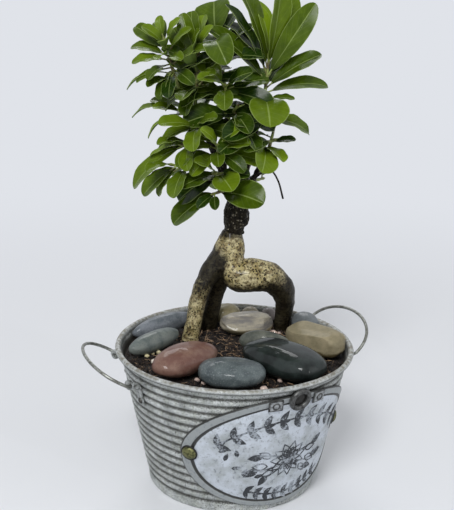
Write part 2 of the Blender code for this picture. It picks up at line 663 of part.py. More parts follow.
class LeafShape:
    """Middle surface of one leaf in the planting frame, in millimetres."""

    def __init__(self, root, bearing, rise, length):
        self.root = root
        self.length = length
        self.way = direction(bearing, rise)
        outward = Vector((root.x - CROWN_X, root.y - CROWN_Y, 0)).normalized()
        light = Vector((0, 0, 1)) + outward * LEAF_OUTWARD + Vector((0, -1, 0)) * LEAF_FORWARD
        self.face = (light - self.way * self.way.dot(light)).normalized()
        self.side = self.way.cross(self.face)

    def point(self, row, side, margin):
        """Point at a row of LEAF_STATIONS (-1 is the petiole's foot) and side -1, 0 or 1."""
        if row < 0:
            return self.root + self.side * side * (PETIOLE_HALF_WIDTH + margin)
        share, width = LEAF_STATIONS[row]
        bend = radians(LEAF_BEND)
        angle = bend * share
        out = PETIOLE + self.length * sin(angle) / bend
        down = self.length * (1 - cos(angle)) / bend
        half = max(PETIOLE_HALF_WIDTH, self.length * LEAF_WIDTH / 2 * width) + margin
        lift = half * LEAF_FOLD * abs(side) * (0 < row < len(LEAF_STATIONS) - 1)
        normal = self.face * cos(angle) + self.way * sin(angle)
        centre = self.root + self.way * out - self.face * down
        return centre + self.side * side * half + normal * lift

    def bmesh_at(self, margin=0.0):
        rows = len(LEAF_STATIONS)
        bm = bmesh.new()
        bmesh.ops.create_grid(bm, x_segments=2, y_segments=rows, size=1)
        for vert in bm.verts:
            row = round((vert.co.y + 1) / 2 * rows) - 1
            vert.co = self.point(row, round(vert.co.x), margin)
        return bm

    def reach(self, with_petiole):
        """Search tree of the leaf's two faces set apart, with or without its petiole."""
        bm = self.bmesh_at(LEAF_CLEARANCE / 2)
        if not with_petiole:
            foot = [v for v in bm.verts if (v.co - self.root).length < PETIOLE * 0.6]
            bmesh.ops.delete(bm, geom=foot, context="VERTS")
        bm.normal_update()
        upper = bm.verts[:]
        bmesh.ops.duplicate(bm, geom=bm.verts[:] + bm.edges[:] + bm.faces[:])
        bm.normal_update()
        for vert in bm.verts:
            side = 1 if vert in upper else -1
            vert.co += vert.normal * side * LEAF_CLEARANCE / 2
        tree = BVHTree.FromBMesh(bm)
        bm.free()
        return tree


def is_clear(tree, others):
    return not any(tree.overlap(other) for other in others)


def obstacle(item):
    """Search tree of a finished piece, in the planting frame and millimetres."""
    graph = bpy.context.evaluated_depsgraph_get()
    bm = bmesh.new()
    bm.from_object(item, graph)
    back = Matrix.Rotation(radians(-PLANT_TURN), 4, "Z") @ item.matrix_world
    bmesh.ops.transform(bm, verts=bm.verts, matrix=Matrix.Scale(1 / MM, 4) @ back)
    tree = BVHTree.FromBMesh(bm)
    bm.free()
    return tree


def place_leaves(shoot, others):
    """Seats a shoot's leaves one by one, clear of everything placed before."""
    start, tip = shoot_line(shoot)
    placed = []
    blades = []
    count = len(shoot.leaves)
    for index, (bearing, rise, length) in enumerate(shoot.leaves):
        root = start.lerp(tip, FIRST_LEAF + (LAST_LEAF - FIRST_LEAF) * index / (count - 1))
        for turn, lift, part in LEAF_TRIES:
            leaf = LeafShape(root, bearing + turn, rise + lift, length * part)
            blade = leaf.reach(with_petiole=False)
            if not is_clear(blade, blades):
                continue
            if is_clear(leaf.reach(with_petiole=True), others):
                placed.append(leaf)
                blades.append(blade)
                break
    return placed


def leaf_object(name, leaf, collection):
    bm = leaf.bmesh_at()
    mesh = bpy.data.meshes.new(name)
    bmesh.ops.transform(bm, verts=bm.verts, matrix=Matrix.Rotation(radians(PLANT_TURN), 4, "Z")
                        @ Matrix.Scale(MM, 4))
    bm.to_mesh(mesh)
    bm.free()
    item = add_object(name, mesh, collection)
    shell = item.modifiers.new("sheet", "SOLIDIFY")
    shell.thickness = LEAF_SHEET * MM
    shell.offset = 0.0
    return item


def make_twig(shoot, collection):
    start, tip = shoot_line(shoot)
    line = ((*start, SHOOT_RADIUS), (*tip, SHOOT_RADIUS * 0.8))
    return add_object("twig", tube_mesh("twig", line, 1, 1), collection)


def make_shoots(solids, collection, green):
    """Every twig first, then the leaves of one shoot after the other."""
    twigs = [make_twig(shoot, collection) for shoot in SHOOTS]
    reaches = [obstacle(twig) for twig in twigs]
    taken = [obstacle(item) for item in solids]
    for index, shoot in enumerate(SHOOTS):
        others = taken + reaches[:index] + reaches[index + 1:]
        leaves = place_leaves(shoot, others)
        taken += [leaf.reach(with_petiole=True) for leaf in leaves]
        items = [leaf_object("leaf%d" % number, leaf, collection)
                 for number, leaf in enumerate(leaves)]
        union(shoot.name, [twigs[index]] + items, collection, green)


def main():
    clear_scene()
    global CUTTERS, CUTTERS_SOIL
    parts = new_collection("ficus_bonsai")
    CUTTERS = new_collection("cutters")
    CUTTERS_SOIL = new_collection("cutters_soil")
    zinc = make_material("galvanised_zinc", "8E938F", 0.45, 0.8)
    steel = make_material("zinc_plated_wire", "7D7F7C", 0.35, 0.9)
    brass = make_material("aged_brass", "7A7453", 0.45, 0.8)
    peat = make_material("peat_soil", "2A1A14", 0.95)
    bark = make_material("ficus_bark", "6B6038", 0.6)
    dark_bark = make_material("scion_bark", "231C18", 0.85)
    green = make_material("ficus_leaf", "35681E", 0.3)

    make_bucket(parts, zinc)
    make_label_plate(parts, zinc)
    make_ring(parts, zinc)
    for name, side in (("label_clasp_left", -1), ("label_clasp_right", 1)):
        make_clasp(name, side, parts, zinc)
    for name, side in (("label_rivet_left", -1), ("label_rivet_right", 1)):
        frame = wall_frame(LABEL_AZIMUTH + side * LABEL_RIVET_ANGLE, LABEL_MIDDLE,
                           2 * GAP + LABEL_SHEET + 0.1)
        make_dome(name, (4.6, 4.0, 2.6), frame, parts, brass)
    for hand, side in (("left", -1), ("right", 1)):
        for place, end in (("front", -1), ("rear", 1)):
            name = "ear_%s_%s" % (hand, place)
            make_ear(name, side, end, parts, zinc)
            frame = wall_frame(ear_azimuth(side, end), EAR_RIVET_Z, 2 * GAP + EAR_STRAP[2] + 0.1)
            make_dome("rivet_%s_%s" % (hand, place), (2.0, 2.0, 1.3), frame, parts, steel)
    make_handle("handle_left", -1, LEFT_RAISED, parts, steel)
    make_handle("handle_right", 1, RIGHT_RAISED, parts, steel)

    stones = [make_stone(stone, parts) for stone in STONES]
    for name, x, y, size, colour in GRIT:
        bit = Stone(name, x, y, (size, size * 0.8, size * 0.7), 20, 0, colour)
        make_stone(bit, parts, 8, 6)
    trunk = make_trunk(parts, bark)
    make_soil(parts, peat)
    scion = make_scion(parts, dark_bark)
    make_shoots(stones + [trunk, scion], parts, green)


main()
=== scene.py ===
"""Grafted ficus bonsai in a ribbed zinc bucket, with wet river stones on its peat.

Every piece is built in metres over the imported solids, in their frame: +Z is up and the origin
is the middle of the bucket's underside. Tables of sizes are in millimetres. The planting has a
frame of its own, turned about Z by PLANT_TURN; PLANTING takes its millimetres to metres.
"""
import random
from collections import namedtuple
from functools import partial
from math import asin, atan, atan2, copysign, cos, degrees, hypot, pi, radians, sin

import bmesh
import bpy
from bpy.props import FloatProperty, FloatVectorProperty, IntProperty
from mathutils import Matrix, Vector, noise
from mathutils.kdtree import KDTree


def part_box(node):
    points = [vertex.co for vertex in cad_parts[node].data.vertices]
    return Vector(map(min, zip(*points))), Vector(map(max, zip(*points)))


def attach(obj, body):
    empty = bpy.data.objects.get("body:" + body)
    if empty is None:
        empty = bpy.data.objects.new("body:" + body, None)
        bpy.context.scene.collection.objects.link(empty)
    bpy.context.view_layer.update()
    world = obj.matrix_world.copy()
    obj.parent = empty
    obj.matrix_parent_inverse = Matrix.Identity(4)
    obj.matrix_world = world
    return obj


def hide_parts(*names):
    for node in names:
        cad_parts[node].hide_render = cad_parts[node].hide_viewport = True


bl_info = {
    "name": "Ficus Bonsai in a Zinc Bucket",
    "version": (1, 0, 0),
    "blender": (4, 5, 0),
    "location": "3D Viewport > Sidebar > Bonsai",
    "description": "Builds a grafted ficus, its river stones and its ribbed zinc bucket",
    "category": "Add Mesh",
}

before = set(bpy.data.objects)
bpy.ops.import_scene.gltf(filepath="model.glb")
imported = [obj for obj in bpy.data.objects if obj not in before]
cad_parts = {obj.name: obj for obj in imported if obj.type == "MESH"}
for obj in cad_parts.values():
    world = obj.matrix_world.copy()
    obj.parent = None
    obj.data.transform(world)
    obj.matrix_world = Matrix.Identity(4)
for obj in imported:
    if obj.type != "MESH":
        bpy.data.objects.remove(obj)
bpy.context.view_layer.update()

MM = 0.001
PLANT_TURN = -23.0
PLANTING = Matrix.Rotation(radians(PLANT_TURN), 4, "Z") @ Matrix.Scale(MM, 4)

# Bucket, measured on its solid
BUCKET_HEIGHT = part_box("bucket")[1].z / MM
RIM_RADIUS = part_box("bucket")[1].x / MM
SOIL_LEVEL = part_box("soil")[1].z / MM
WALL_TOP_RADIUS = RIM_RADIUS - 2.5
BASE_RADIUS = 58.2
WALL_SLOPE = (WALL_TOP_RADIUS - BASE_RADIUS) / BUCKET_HEIGHT
BEAD_RADIUS = 1.9
SHEET = 1.6
LOWEST_GROOVE = 8.0
RIB_COUNT = 15
RIBS_END = 97.2
FOOT_TOP = 4.2
FOOT_SWELL = 0.7
PEAT_GAP = 0.4
PEAT_UNDERSIDE = 2.2
PEAT_SEED = 5

# Label plate: angles in degrees from its middle, heights and lifts in millimetres
LABEL_AZIMUTH = 8.5
LABEL_HALF_ANGLE = 61.0
LABEL_MIDDLE = 46.0
LABEL_RISE = 44.8
LABEL_DROP = 41.0
LABEL_TIP = 1.5
LABEL_SHEET = 0.8
LABEL_RIVET_ANGLE = 55.1
LABEL_RIVET = (5.2, 4.7, 2.6)
LABEL_RIVET_LIFT = 1.9
# Rings from the plate's edge to its middle: share of the outline and lift above the ribs
LABEL_RINGS = (
    (1.0, 0.5), (0.998, 1.15), (0.99, 1.55), (0.976, 1.75), (0.96, 1.7), (0.94, 1.65),
    (0.922, 1.7), (0.91, 1.75), (0.9, 1.5), (0.892, 0.95), (0.883, 0.95), (0.875, 1.15),
    (0.862, 1.3), (0.76, 1.35), (0.68, 1.35), (0.6, 1.35), (0.5, 1.35), (0.4, 1.35),
    (0.3, 1.35), (0.2, 1.35), (0.1, 1.35),
)
FIELD_LIFT = 1.35
INK = 0.22
EYELET_HEIGHT = 88.6
EYELET_RADIUS = 6.3
EYELET_WIRE = 1.8
# Dark dome in the eyelet's hole: painted shade
EYELET_DOME = (5.2, 5.2, 1.0)
CLASP_ANGLE = 12.0
CLASP_DROP = 4.2
CLASP_PLATE = (8.1, 6.4, 1.1)
CLASP_FRAME = (9.9, 8.2, 0.8)
CLASP_STUD = (1.7, 1.7, 0.6)
CLASP_RING = 2.2

# Handles and ears
HANDLE_AZIMUTH = 97.0
HINGE_RADIUS = 79.0
HINGE_Z = 86.0
EAR_REACH = 27.0
EAR_LENGTH = 5.0
HANDLE_REACH = 29.5
HANDLE_BULGE = 3.5
LEFT_RAISED = 29.0
RIGHT_RAISED = 43.0
STRAP = (7.0, 15.0, 1.0)
STRAP_Z = 78.0
NECK = (4.6, 3.4, 3.6)
EAR_RIVET = (2.1, 2.1, 1.3)
EAR_RIVET_Z = 73.8
KNUCKLE_RADIUS = 2.7
KNUCKLE_SHEET = 1.2

# Stones: where each lies in the planting frame, its half sizes and its turn, as in the solids.
# A look gives colours of the body, its patches, its grains and the part below the split, then
# the height of that split over the peat, sizes and shares of the patterns, and the shape's wear.
Look = namedtuple("Look", "main patch grain lower split patch_size grain_size grain_share "
                          "roughness wet worn flats square stretch",
                  defaults=("000000", -5.0, 7.0, 0.8, 0.5, 0.5, 0.3, 0.02, (), 1.0, (1, 1, 1)))
Stone = namedtuple("Stone", "name x y half_sizes yaw pitch look")
STONES = (
    Stone("stone_slate_long", -52, 36, (25, 7, 7.5), 37, -4,
          Look("596066", "747980", "A2A6A6")),
    Stone("stone_green_grey", -56, 4, (23, 8, 7.2), 49, -2,
          Look("5A6261", "747A76", "333A38", patch_size=9, grain_share=0.6)),
    Stone("stone_red_brown", -33, -33, (26.5, 15.5, 9.8), 48, 0,
          Look("6B4C43", "83685B", "4A302B", patch_size=12, grain_share=0.5)),
    Stone("stone_blue_grey", -2, -52, (22, 15.5, 8.7), -7, 0,
          Look("485053", "5E6768", "9AA0A0", grain_size=0.9, grain_share=0.6,
               square=0.9)),
    Stone("stone_black_green", 33, -30, (31, 19, 10), -42, 0,
          Look("121716", "262E2C", "0B0C0C", patch_size=11, wet=0.4, square=0.84)),
    Stone("stone_charcoal", 21, 3, (18, 7.5, 8.5), -14, 0,
          Look("4C504A", "6A6C63", "1F2321")),
    Stone("stone_mauve_striped", 9, 42, (19.5, 12, 7.9), 8, 0,
          Look("76736F", "A39C8A", "54524E", "857B5E", 6.0, patch_size=5, worn=0.05,
               square=0.88, stretch=(0.3, 0.3, 1.6),
               flats=(((0.75, -0.55, 0.3), 14.5), ((-0.1, -0.75, 0.65), 8.2)))),
    Stone("stone_cream", -6, 63, (11.5, 8.5, 7.5), 30, 0, Look("8A8163", "9C9475", "645D45")),
    Stone("stone_beige_round", 12, 66, (7, 6.5, 6), 0, 0, Look("948B78", "A79E8B", "7A705E")),
    Stone("stone_mauve_small", 26, 67, (6.5, 5.5, 5.5), 0, 0, Look("77706F", "8B8482", "5A5352")),
    Stone("stone_grey_back", 52, 43, (11.5, 8.5, 8.5), -42, 0, Look("5E6365", "72777A", "44494B")),
    Stone("stone_tan", 57, 9, (22.5, 12.5, 9.4), -42, 0,
          Look("837B62", "968C72", "5D553E", "524932", 6.0, roughness=0.5, wet=0.08,
               worn=0.04, square=0.66,
               flats=(((-0.08, -0.2, 1), 7.8), ((0.1, -1, 0.15), 11.5)))),
)
GRIT = (
    ("grit_pink", 33, 20, 3.4, Look("C6AFA4", "D4C0B4", "9A8074", patch_size=3)),
    ("grit_yellow", -44, -16, 3.6, Look("C9BE93", "D9D0AB", "9A8E62", patch_size=3)),
    ("grit_white", -54, -20, 2.6, Look("D8CFC2", "E4DDD2", "A89E8E", patch_size=3)),
    ("grit_front", 19, -61, 2.6, Look("C6AFA4", "D4C0B4", "9A8074", patch_size=3)),
)

# Loose gravel, as (x, y, radius), and straws, each as two ends; all in the planting frame
GRAVEL = {
    "pink": ((23, 46, 1.9), (26, 43.5, 2.2), (29.5, 42, 2.0), (33, 40, 1.7), (-24, -48, 1.9),
             (-20, -53, 1.5), (30, -46, 1.6)),
    "yellow": ((-57, -3, 1.9), (-53, -1, 2.1), (-60, -9, 1.6), (-50, -6, 1.4), (-66, 10, 1.5)),
}
STRAWS = (
    ((-28, 22, 85), (-23, 24, 98)), ((-30, 18, 86), (-20, 16, 90)), ((-24, 20, 85), (-14, 24, 91)),
    ((-26, 14, 86), (-17, 10, 88)), ((-22, 26, 85), (-19, 30, 96)), ((-34, 15, 86), (-30, 12, 92)),
    ((-12, 18, 86), (-2, 14, 89)), ((-8, 24, 86), (-2, 30, 93)), ((-46, -20, 86), (-38, -24, 91)),
    ((-58, -14, 87), (-50, -16, 92)),
)

# Limbs in the planting frame, each a centre line of (x, y, z, radius)
CAUDEX = ((-3, 41, 167.5, 7.0), (-4, 40, 160, 9.2), (-6, 39, 151, 11.5), (-8, 39, 141, 11))
LIT_ROOT = ((-10, 38, 150, 8.0), (-19, 34, 137, 7.4), (-26, 30, 119, 6.2), (-33, 24, 84, 5.8))
DARK_ROOT = ((-8, 40, 144, 9), (-13, 44, 128, 7.5), (-17, 47, 110, 7.2), (-21, 51, 84, 6.8))
ARM_ROOT = (
    (-4, 38, 146, 9), (2, 35, 136.5, 11.8), (13, 35, 136.5, 12), (24, 37, 134.5, 11),
    (32, 41, 127, 9.6), (36, 45, 117, 8.0), (36, 49, 106, 6.6), (34, 52, 84, 5.0),
)
STUB = ((-2, 41, 165.5, 7.0), (-2, 41, 169.5, 6.8), (-1, 41, 176, 8.9), (0, 41, 184, 8.7),
        (0, 42, 194, 6.0))
BRANCHES = {
    "leader": ((0, 42, 186, 3.4), (6, 42, 214, 2.6), (11, 41, 238, 2.2), (16, 40, 256, 1.8)),
    "left": ((-1, 42, 186, 3.2), (-10, 40, 212, 2.6), (-24, 38, 240, 2.2), (-42, 37, 268, 1.7)),
    "middle": ((0, 42, 190, 3.0), (-6, 44, 225, 2.4), (-10, 46, 262, 2.0), (-14, 44, 280, 1.6)),
    "low": ((-2, 40, 188, 2.6), (-16, 34, 204, 2.2), (-30, 31, 214, 1.7)),
    "back_right": ((2, 44, 188, 2.6), (14, 54, 208, 2.2), (22, 58, 226, 1.7)),
    "back_left": ((-2, 44, 188, 2.6), (-14, 55, 212, 2.2), (-24, 60, 234, 1.7)),
}
THREAD = ((4, 42, 190, 0.9), (12, 41, 206, 0.7), (22, 40, 212, 0.65), (28, 40, 205, 0.65),
          (32, 40, 192, 0.7))

# Shoots: the branch and the share of its length where each starts, its direction and length,
# then its leaves from the lowest to the tip. Bearings turn from the planting frame's +X to +Y.
Leaf = namedtuple("Leaf", "bearing rise length tone width roll bend",
                  defaults=(0.3, 0.5, 0.0, 38.0))
Shoot = namedtuple("Shoot", "name branch along bearing rise length leaves")
SHOOTS = (
    Shoot("shoot_crown", "leader", 1.0, 20, 85, 30, (
        (-5, 6, 16, 0.3, 0.42, 0, 20), (-84, -10, 34, 0.62, 0.8, 20, 28),
        (-4, 24, 42, 0.35, 0.28, 0, 44), (178, 28, 27, 0.1, 0.34), (-8, 42, 40, 0.2, 0.36, 0, 30),
        (60, 34, 34, 0.1, 0.4), (188, 18, 30, 0.05, 0.36), (188, 52, 50, 0.25, 0.36, 0, 30),
        (15, 56, 36, 0.05, 0.32), (-10, 58, 54, 0.35, 0.31, 0, 20),
        (176, 66, 50, 0.05, 0.3, 8, 20), (150, 60, 46, 0.0, 0.42),
        (-140, 74, 56, 0.4, 0.36, 0, 15), (-50, 74, 54, 0.55, 0.38, 0, 15),
        (40, 66, 50, 0.6, 0.4, 0, 15), (100, 78, 44, 0.8, 0.34), (-90, 84, 34, 0.9, 0.3))),
    Shoot("shoot_collar", "leader", 0.82, -40, 15, 8, (
        (0, 6, 33, 0.3, 0.4, 0, 65), (75, 10, 32, 0.2), (-135, -4, 34, 0.0),
        (180, 14, 34, 0.0, 0.42))),
    Shoot("shoot_right_low", "leader", 0.5, -10, 25, 12, (
        (90, -5, 26, 0.2), (-42, -6, 19, 0.85, 0.75, 0, 30), (-84, -14, 27, 0.75, 0.7),
        (-6, 14, 15, 0.05, 0.42, 0, 20), (-120, 10, 26, 0.1))),
    Shoot("shoot_rosette", "left", 1.0, 165, 72, 30, (
        (-15, 44, 34, 0.05, 0.38), (-150, -2, 17, 0.35, 0.7), (100, 0, 26, 0.2),
        (180, 10, 32, 0.45, 0.24, 30, 75), (-100, -20, 22, 0.05), (-125, -30, 20, 0.3),
        (-60, -6, 20, 0.2), (-163, -10, 22, 0.45, 0.45), (-35, 40, 27, 0.4, 0.5),
        (-130, -6, 20, 0.3), (60, 30, 20, 0.2), (-172, 10, 22, 0.7, 0.45), (-75, 20, 18, 0.5),
        (175, 26, 24, 0.5, 0.42), (-110, 10, 18, 0.8), (-35, 55, 20, 0.5),
        (162, 38, 26, 0.3, 0.46), (-100, 34, 17, 0.8), (-150, 50, 18, 0.6), (120, 50, 20, 0.4),
        (-40, 70, 16, 0.7), (180, 72, 14, 0.8))),
    Shoot("shoot_left_top", "left", 0.8, 60, 84, 40, (
        (-15, 18, 30, 0.1), (110, 20, 30, 0.1), (-110, 15, 26, 0.35), (170, 30, 22, 0.3),
        (30, 42, 26, 0.0), (-70, 35, 22, 0.45), (110, 50, 24, 0.2), (185, 40, 20, 0.5),
        (-10, 44, 22, 0.3), (-120, 48, 20, 0.6), (-160, 40, 24, 0.3), (178, 56, 28, 0.45),
        (-120, 60, 22, 0.5), (195, 66, 29, 0.5, 0.4), (160, 74, 29, 0.3, 0.4), (-60, 70, 18, 0.6),
        (100, 76, 22, 0.7))),
    Shoot("shoot_middle_top", "middle", 1.0, 150, 80, 18, (
        (-160, 10, 26, 0.3), (-25, 18, 28, 0.05), (20, 48, 30, 0.0), (60, 60, 28, 0.1),
        (-98, 28, 38, 0.2, 0.5, 0, 104), (104, 58, 28, 0.4, 0.92, 5, 14))),
    Shoot("shoot_middle_front", "middle", 0.68, -90, 30, 14, (
        (-150, 0, 30, 0.2), (-35, 2, 32, 0.0), (172, 12, 30, 0.4), (-5, 24, 26, 0.0),
        (168, 52, 26, 0.45, 0.55), (-92, -8, 24, 0.4),
        (-60, 34, 24, 0.2), (-130, 30, 20, 0.5))),
    Shoot("shoot_middle_light", "left", 0.45, -90, 30, 18, (
        (-170, -6, 24, 0.6), (-12, 0, 30, 0.7, 0.5), (-130, -14, 23, 0.7), (-50, -10, 22, 0.2),
        (-90, -2, 20, 0.3), (120, 40, 20, 0.3), (-150, 20, 20, 0.7), (-30, 22, 20, 0.4),
        (-112, 46, 18, 0.8), (-35, 50, 18, 0.75), (170, 34, 20, 0.5))),
    Shoot("shoot_left_reach", "middle", 0.75, 190, 10, 17, (
        (140, 30, 30, 0.3), (-150, 2, 30, 0.4), (168, -8, 24, 0.35, 0.4), (-172, 4, 27, 0.55, 0.5),
        (-120, -20, 26, 0.2), (-170, -30, 24, 0.3))),
    Shoot("shoot_left_pale", "left", 0.78, 150, 10, 12, (
        (120, 0, 30, 0.3), (184, -5, 30, 0.8, 0.28, 15, 66), (-168, 20, 18, 0.55),
        (172, 20, 35, 0.7, 0.26, 15, 75), (160, 24, 18, 0.35))),
    Shoot("shoot_left_fan", "left", 0.55, -165, 0, 16, (
        (130, -5, 28, 0.3), (-125, -10, 24, 0.5), (180, 2, 31, 0.75, 0.3, 15, 42),
        (172, -6, 26, 0.3), (-150, 22, 22, 0.55), (-95, -18, 22, 0.6),
        (-178, -26, 47, 0.55, 0.3, 0, 42))),
    Shoot("shoot_left_low", "low", 1.0, -175, 10, 12, (
        (120, -4, 28, 0.2), (-112, -14, 26, 0.4), (168, -20, 28, 0.35, 0.42),
        (-165, -36, 22, 0.5, 0.55), (196, -30, 27, 0.45, 0.55), (-130, 14, 22, 0.6))),
    Shoot("shoot_low_front", "low", 0.3, -120, 0, 8, (
        (-160, -20, 36, 0.3, 0.54), (-42, 8, 32, 0.35, 0.74), (-130, -12, 16, 0.05),
        (-12, 18, 22, 0.45), (-90, -10, 14, 0.1))),
    Shoot("shoot_left_front", "left", 0.3, -115, 10, 14, (
        (-168, -20, 33, 0.15, 0.62), (-142, 0, 28, 0.3), (-75, 0, 24, 0.6, 0.8, 0, 25),
        (-120, 36, 22, 0.6), (-20, 10, 20, 0.1))),
    Shoot("shoot_middle_high", "middle", 0.52, -65, 35, 14, (
        (-12, -4, 28, 0.0), (-142, 6, 32, 0.0, 0.6), (-72, -4, 26, 0.1), (-110, 26, 24, 0.4),
        (20, 20, 24, 0.1))),
    Shoot("shoot_leader_left", "leader", 0.66, -175, 30, 10, (
        (-120, -6, 30, 0.05), (150, 6, 30, 0.1), (-165, 4, 32, 0.2), (-88, 22, 24, 0.3),
        (-60, -14, 26, 0.0))),
    Shoot("shoot_left_lap", "left", 0.68, -110, 15, 12, (
        (-30, 0, 28, 0.3), (-175, -6, 24, 0.5), (-102, -6, 26, 0.6), (-140, 18, 26, 0.6),
        (-60, 30, 20, 0.4))),
    Shoot("shoot_left_rear", "left", 0.9, 80, 10, 12, (
        (150, 0, 26, 0.2), (20, 0, 32, 0.0), (80, 10, 34, 0.2), (110, 40, 28, 0.3))),
    Shoot("shoot_rear_low", "back_right", 0.35, 60, -5, 10, (
        (120, -15, 34, 0.2), (135, -4, 30, 0.2), (85, 20, 30, 0.3))),
    Shoot("shoot_back_right", "back_right", 1.0, 75, 40, 14, (
        (115, -5, 34, 0.1), (125, 5, 30, 0.3), (90, 35, 34, 0.3), (165, 45, 30, 0.1))),
    Shoot("shoot_back_left", "back_left", 1.0, 120, 45, 14, (
        (180, -5, 30, 0.2), (60, -5, 34, 0.1), (120, 0, 36, 0.3), (90, 35, 34, 0.3),
        (200, 35, 28, 0.3), (20, 50, 28, 0.1))),
    Shoot("shoot_back_top", "middle", 0.85, 90, 35, 16, (
        (160, 5, 34, 0.1), (40, 5, 34, 0.0), (90, 15, 36, 0.3), (130, 45, 32, 0.2),
        (60, 50, 32, 0.1))),
    Shoot("shoot_back_crown", "leader", 0.86, 100, 30, 14, (
        (70, 5, 26, 0.1), (150, 10, 34, 0.1), (85, 15, 36, 0.3), (115, 35, 34, 0.3))),
    Shoot("shoot_back_low", "back_left", 0.35, 95, 5, 10, (
        (170, -20, 32, 0.2), (40, -20, 32, 0.2), (100, -15, 34, 0.3), (70, 20, 30, 0.2))),
)
SHOOT_RADIUS = 1.2
PETIOLE = 5.0
LEAF_SHEET = 0.35
LEAF_FOLD = 0.32
CROWN_MIDDLE = (-6.0, 42.0)
BLADE_PEAK = 0.4127      # greatest value of the blade's outline, for a width of one

# Lamps: name, place and size in metres, and share of the key lamp's power
LAMPS = (
    ("key", (-0.75, -0.95, 1.35), 0.6, 1.0),
    ("left_glint", (-0.9, -1.3, 0.9), 0.05, 0.08),
    ("right_glint", (0.7, -1.5, 0.8), 0.05, 0.08),
    ("fill", (1.3, -0.9, 0.8), 1.2, 0.16),
    ("rim", (0.3, 1.2, 1.3), 0.8, 0.35),
)
LAMP_AIM = Vector((0, 0, 0.15))
# Camera in the planting frame: its place in metres, how far it looks down and its roll
CAMERA_PLACE = (-0.00655, -0.6798, 0.3678)
CAMERA_FALL = 16.86
CAMERA_ROLL = 1.2947
FILM_WIDTH = 36.0
LENS = 74.12
# Floor: its half size in metres; where its shadow's field and its backdrop meet, in millimetres
FLOOR_REACH = 30
SHADOW_REACH = 250.0
BACKDROP_START = 900.0


def linear(code):
    """Linear colour with alpha from an sRGB hex code."""
    values = [int(code[i:i + 2], 16) / 255 for i in (0, 2, 4)]
    return [v / 12.92 if v <= 0.04045 else ((v + 0.055) / 1.055) ** 2.4 for v in values] + [1.0]


def colour_property(name, description, code):
    return FloatVectorProperty(name=name, description=description, subtype="COLOR", size=4,
            min=0.0, max=1.0, default=linear(code))


def length_property(name, description, millimetres):
    return FloatProperty(name=name, description=description, default=millimetres * MM, min=0.0,
            unit="LENGTH", precision=5)


class BucketSettings(bpy.types.PropertyGroup):
    rib_pitch: length_property("Rib pitch", "Height from one rib to the next", 5.87)
    rib_depth: length_property("Rib depth", "Depth of the grooves between the ribs", 0.95)
    zinc: colour_property("Zinc", "Bare galvanised sheet", "A2A6A5")
    wash: colour_property("Wash", "Chalky film on the crests", "CBCFCE")
    patina: colour_property("Patina", "Dark deposit in the grooves", "2B2A23")
    handle_wire: length_property("Handle wire", "Radius of the handles' wire", 1.1)


class LabelSettings(bpy.types.PropertyGroup):
    face: colour_property("Face", "Pale bluish face of the plate", "C6CDD6")
    ink: colour_property("Ink", "Worn stencil ink of the ornament", "2E3135")
    brass: colour_property("Brass", "Aged brass of the two rivets", "72724C")


class PlantingSettings(bpy.types.PropertyGroup):
    peat: colour_property("Peat", "Moist peat", "080605")
    fibre: colour_property("Fibre", "Dry fibres in the peat", "AA8D70")
    crumbs: IntProperty(name="Crumbs", description="Loose crumbs of peat", default=2600, min=0)
    fibres: IntProperty(name="Fibres", description="Loose fibres", default=420, min=0)


class TreeSettings(bpy.types.PropertyGroup):
    bark: colour_property("Bark", "Smooth khaki bark", "D0C59C")
    # Dark weathered bark, also painted as the shade on shaded limbs and on undersides
    dark_bark_and_shade: colour_property("Dark bark and shade", "Dark weathered bark", "0F0C09")
    scion: colour_property("Scion bark", "Rough bark above the graft", "0F0D0A")
    young: colour_property("Young leaf", "Fresh yellow-green leaf", "708818")
    mature: colour_property("Mature leaf", "Deep green leaf", "1B3006")
    underside: colour_property("Underside", "Matt pale underside", "6E8446")
    # Also the painted highlight along each leaf's edge
    vein_and_edge_light: colour_property("Vein and edge light", "Pale midrib", "A3B46C")


class StageSettings(bpy.types.PropertyGroup):
    backdrop: colour_property("Backdrop", "Colour seen behind the object", "E0E3E9")
    floor: colour_property("Floor", "Matt floor", "E4E6EA")
    key_power: FloatProperty(name="Key power", description="Power of the large soft lamp",
            default=18.0, min=0.0, unit="POWER")


# Shared helpers -------------------------------------------------------------------------------
# Sockets by number: Map Range 0 value, 1 and 2 its range, 3 and 4 the new one; Mix 0 share, 6 and
# 7 the two colours; Mix Shader 0 share, 1 and 2 the two shaders.

def connect(node, inputs):
    """Sets or links a node's inputs. A node as a value stands for its first output in use."""
    for key, value in inputs.items():
        if isinstance(value, bpy.types.Node):
            value = next(output for output in value.outputs if output.enabled)
        if isinstance(value, bpy.types.NodeSocket):
            node.id_data.links.new(value, node.inputs[key])
        else:
            node.inputs[key].default_value = value


def add_node(tree, kind, inputs=None, **settings):
    """Adds a shader node, sets its properties, and sets or links each of its inputs."""
    made = tree.nodes.new("ShaderNode" + kind)
    for key, value in settings.items():
        setattr(made, key, value)
    connect(made, inputs or {})
    return made


def start_material(name):
    """A new material, what adds a node to it, its shader and its place in millimetres."""
    material = bpy.data.materials.new(name)
    material.use_nodes = True
    add = partial(add_node, material.node_tree)
    place = add("TexCoord").outputs["Object"]
    mm = add("VectorMath", {0: place, "Scale": 1 / MM}, operation="SCALE")
    return material, add, material.node_tree.nodes["Principled BSDF"], mm


def lay(add, base, colour, field, low, high, share=1.0):
    """Lays a colour over another, up to a share, where a pattern rises from low to high."""
    cover = add("MapRange", {0: field, 1: low, 2: high, 4: share})
    return add("Mix", {0: cover, 6: base, 7: colour}, data_type="RGBA")


def wall_radius(z):
    """Radius of the ribs' crests at a height, in millimetres."""
    return BASE_RADIUS + (WALL_TOP_RADIUS - BASE_RADIUS) * z / BUCKET_HEIGHT


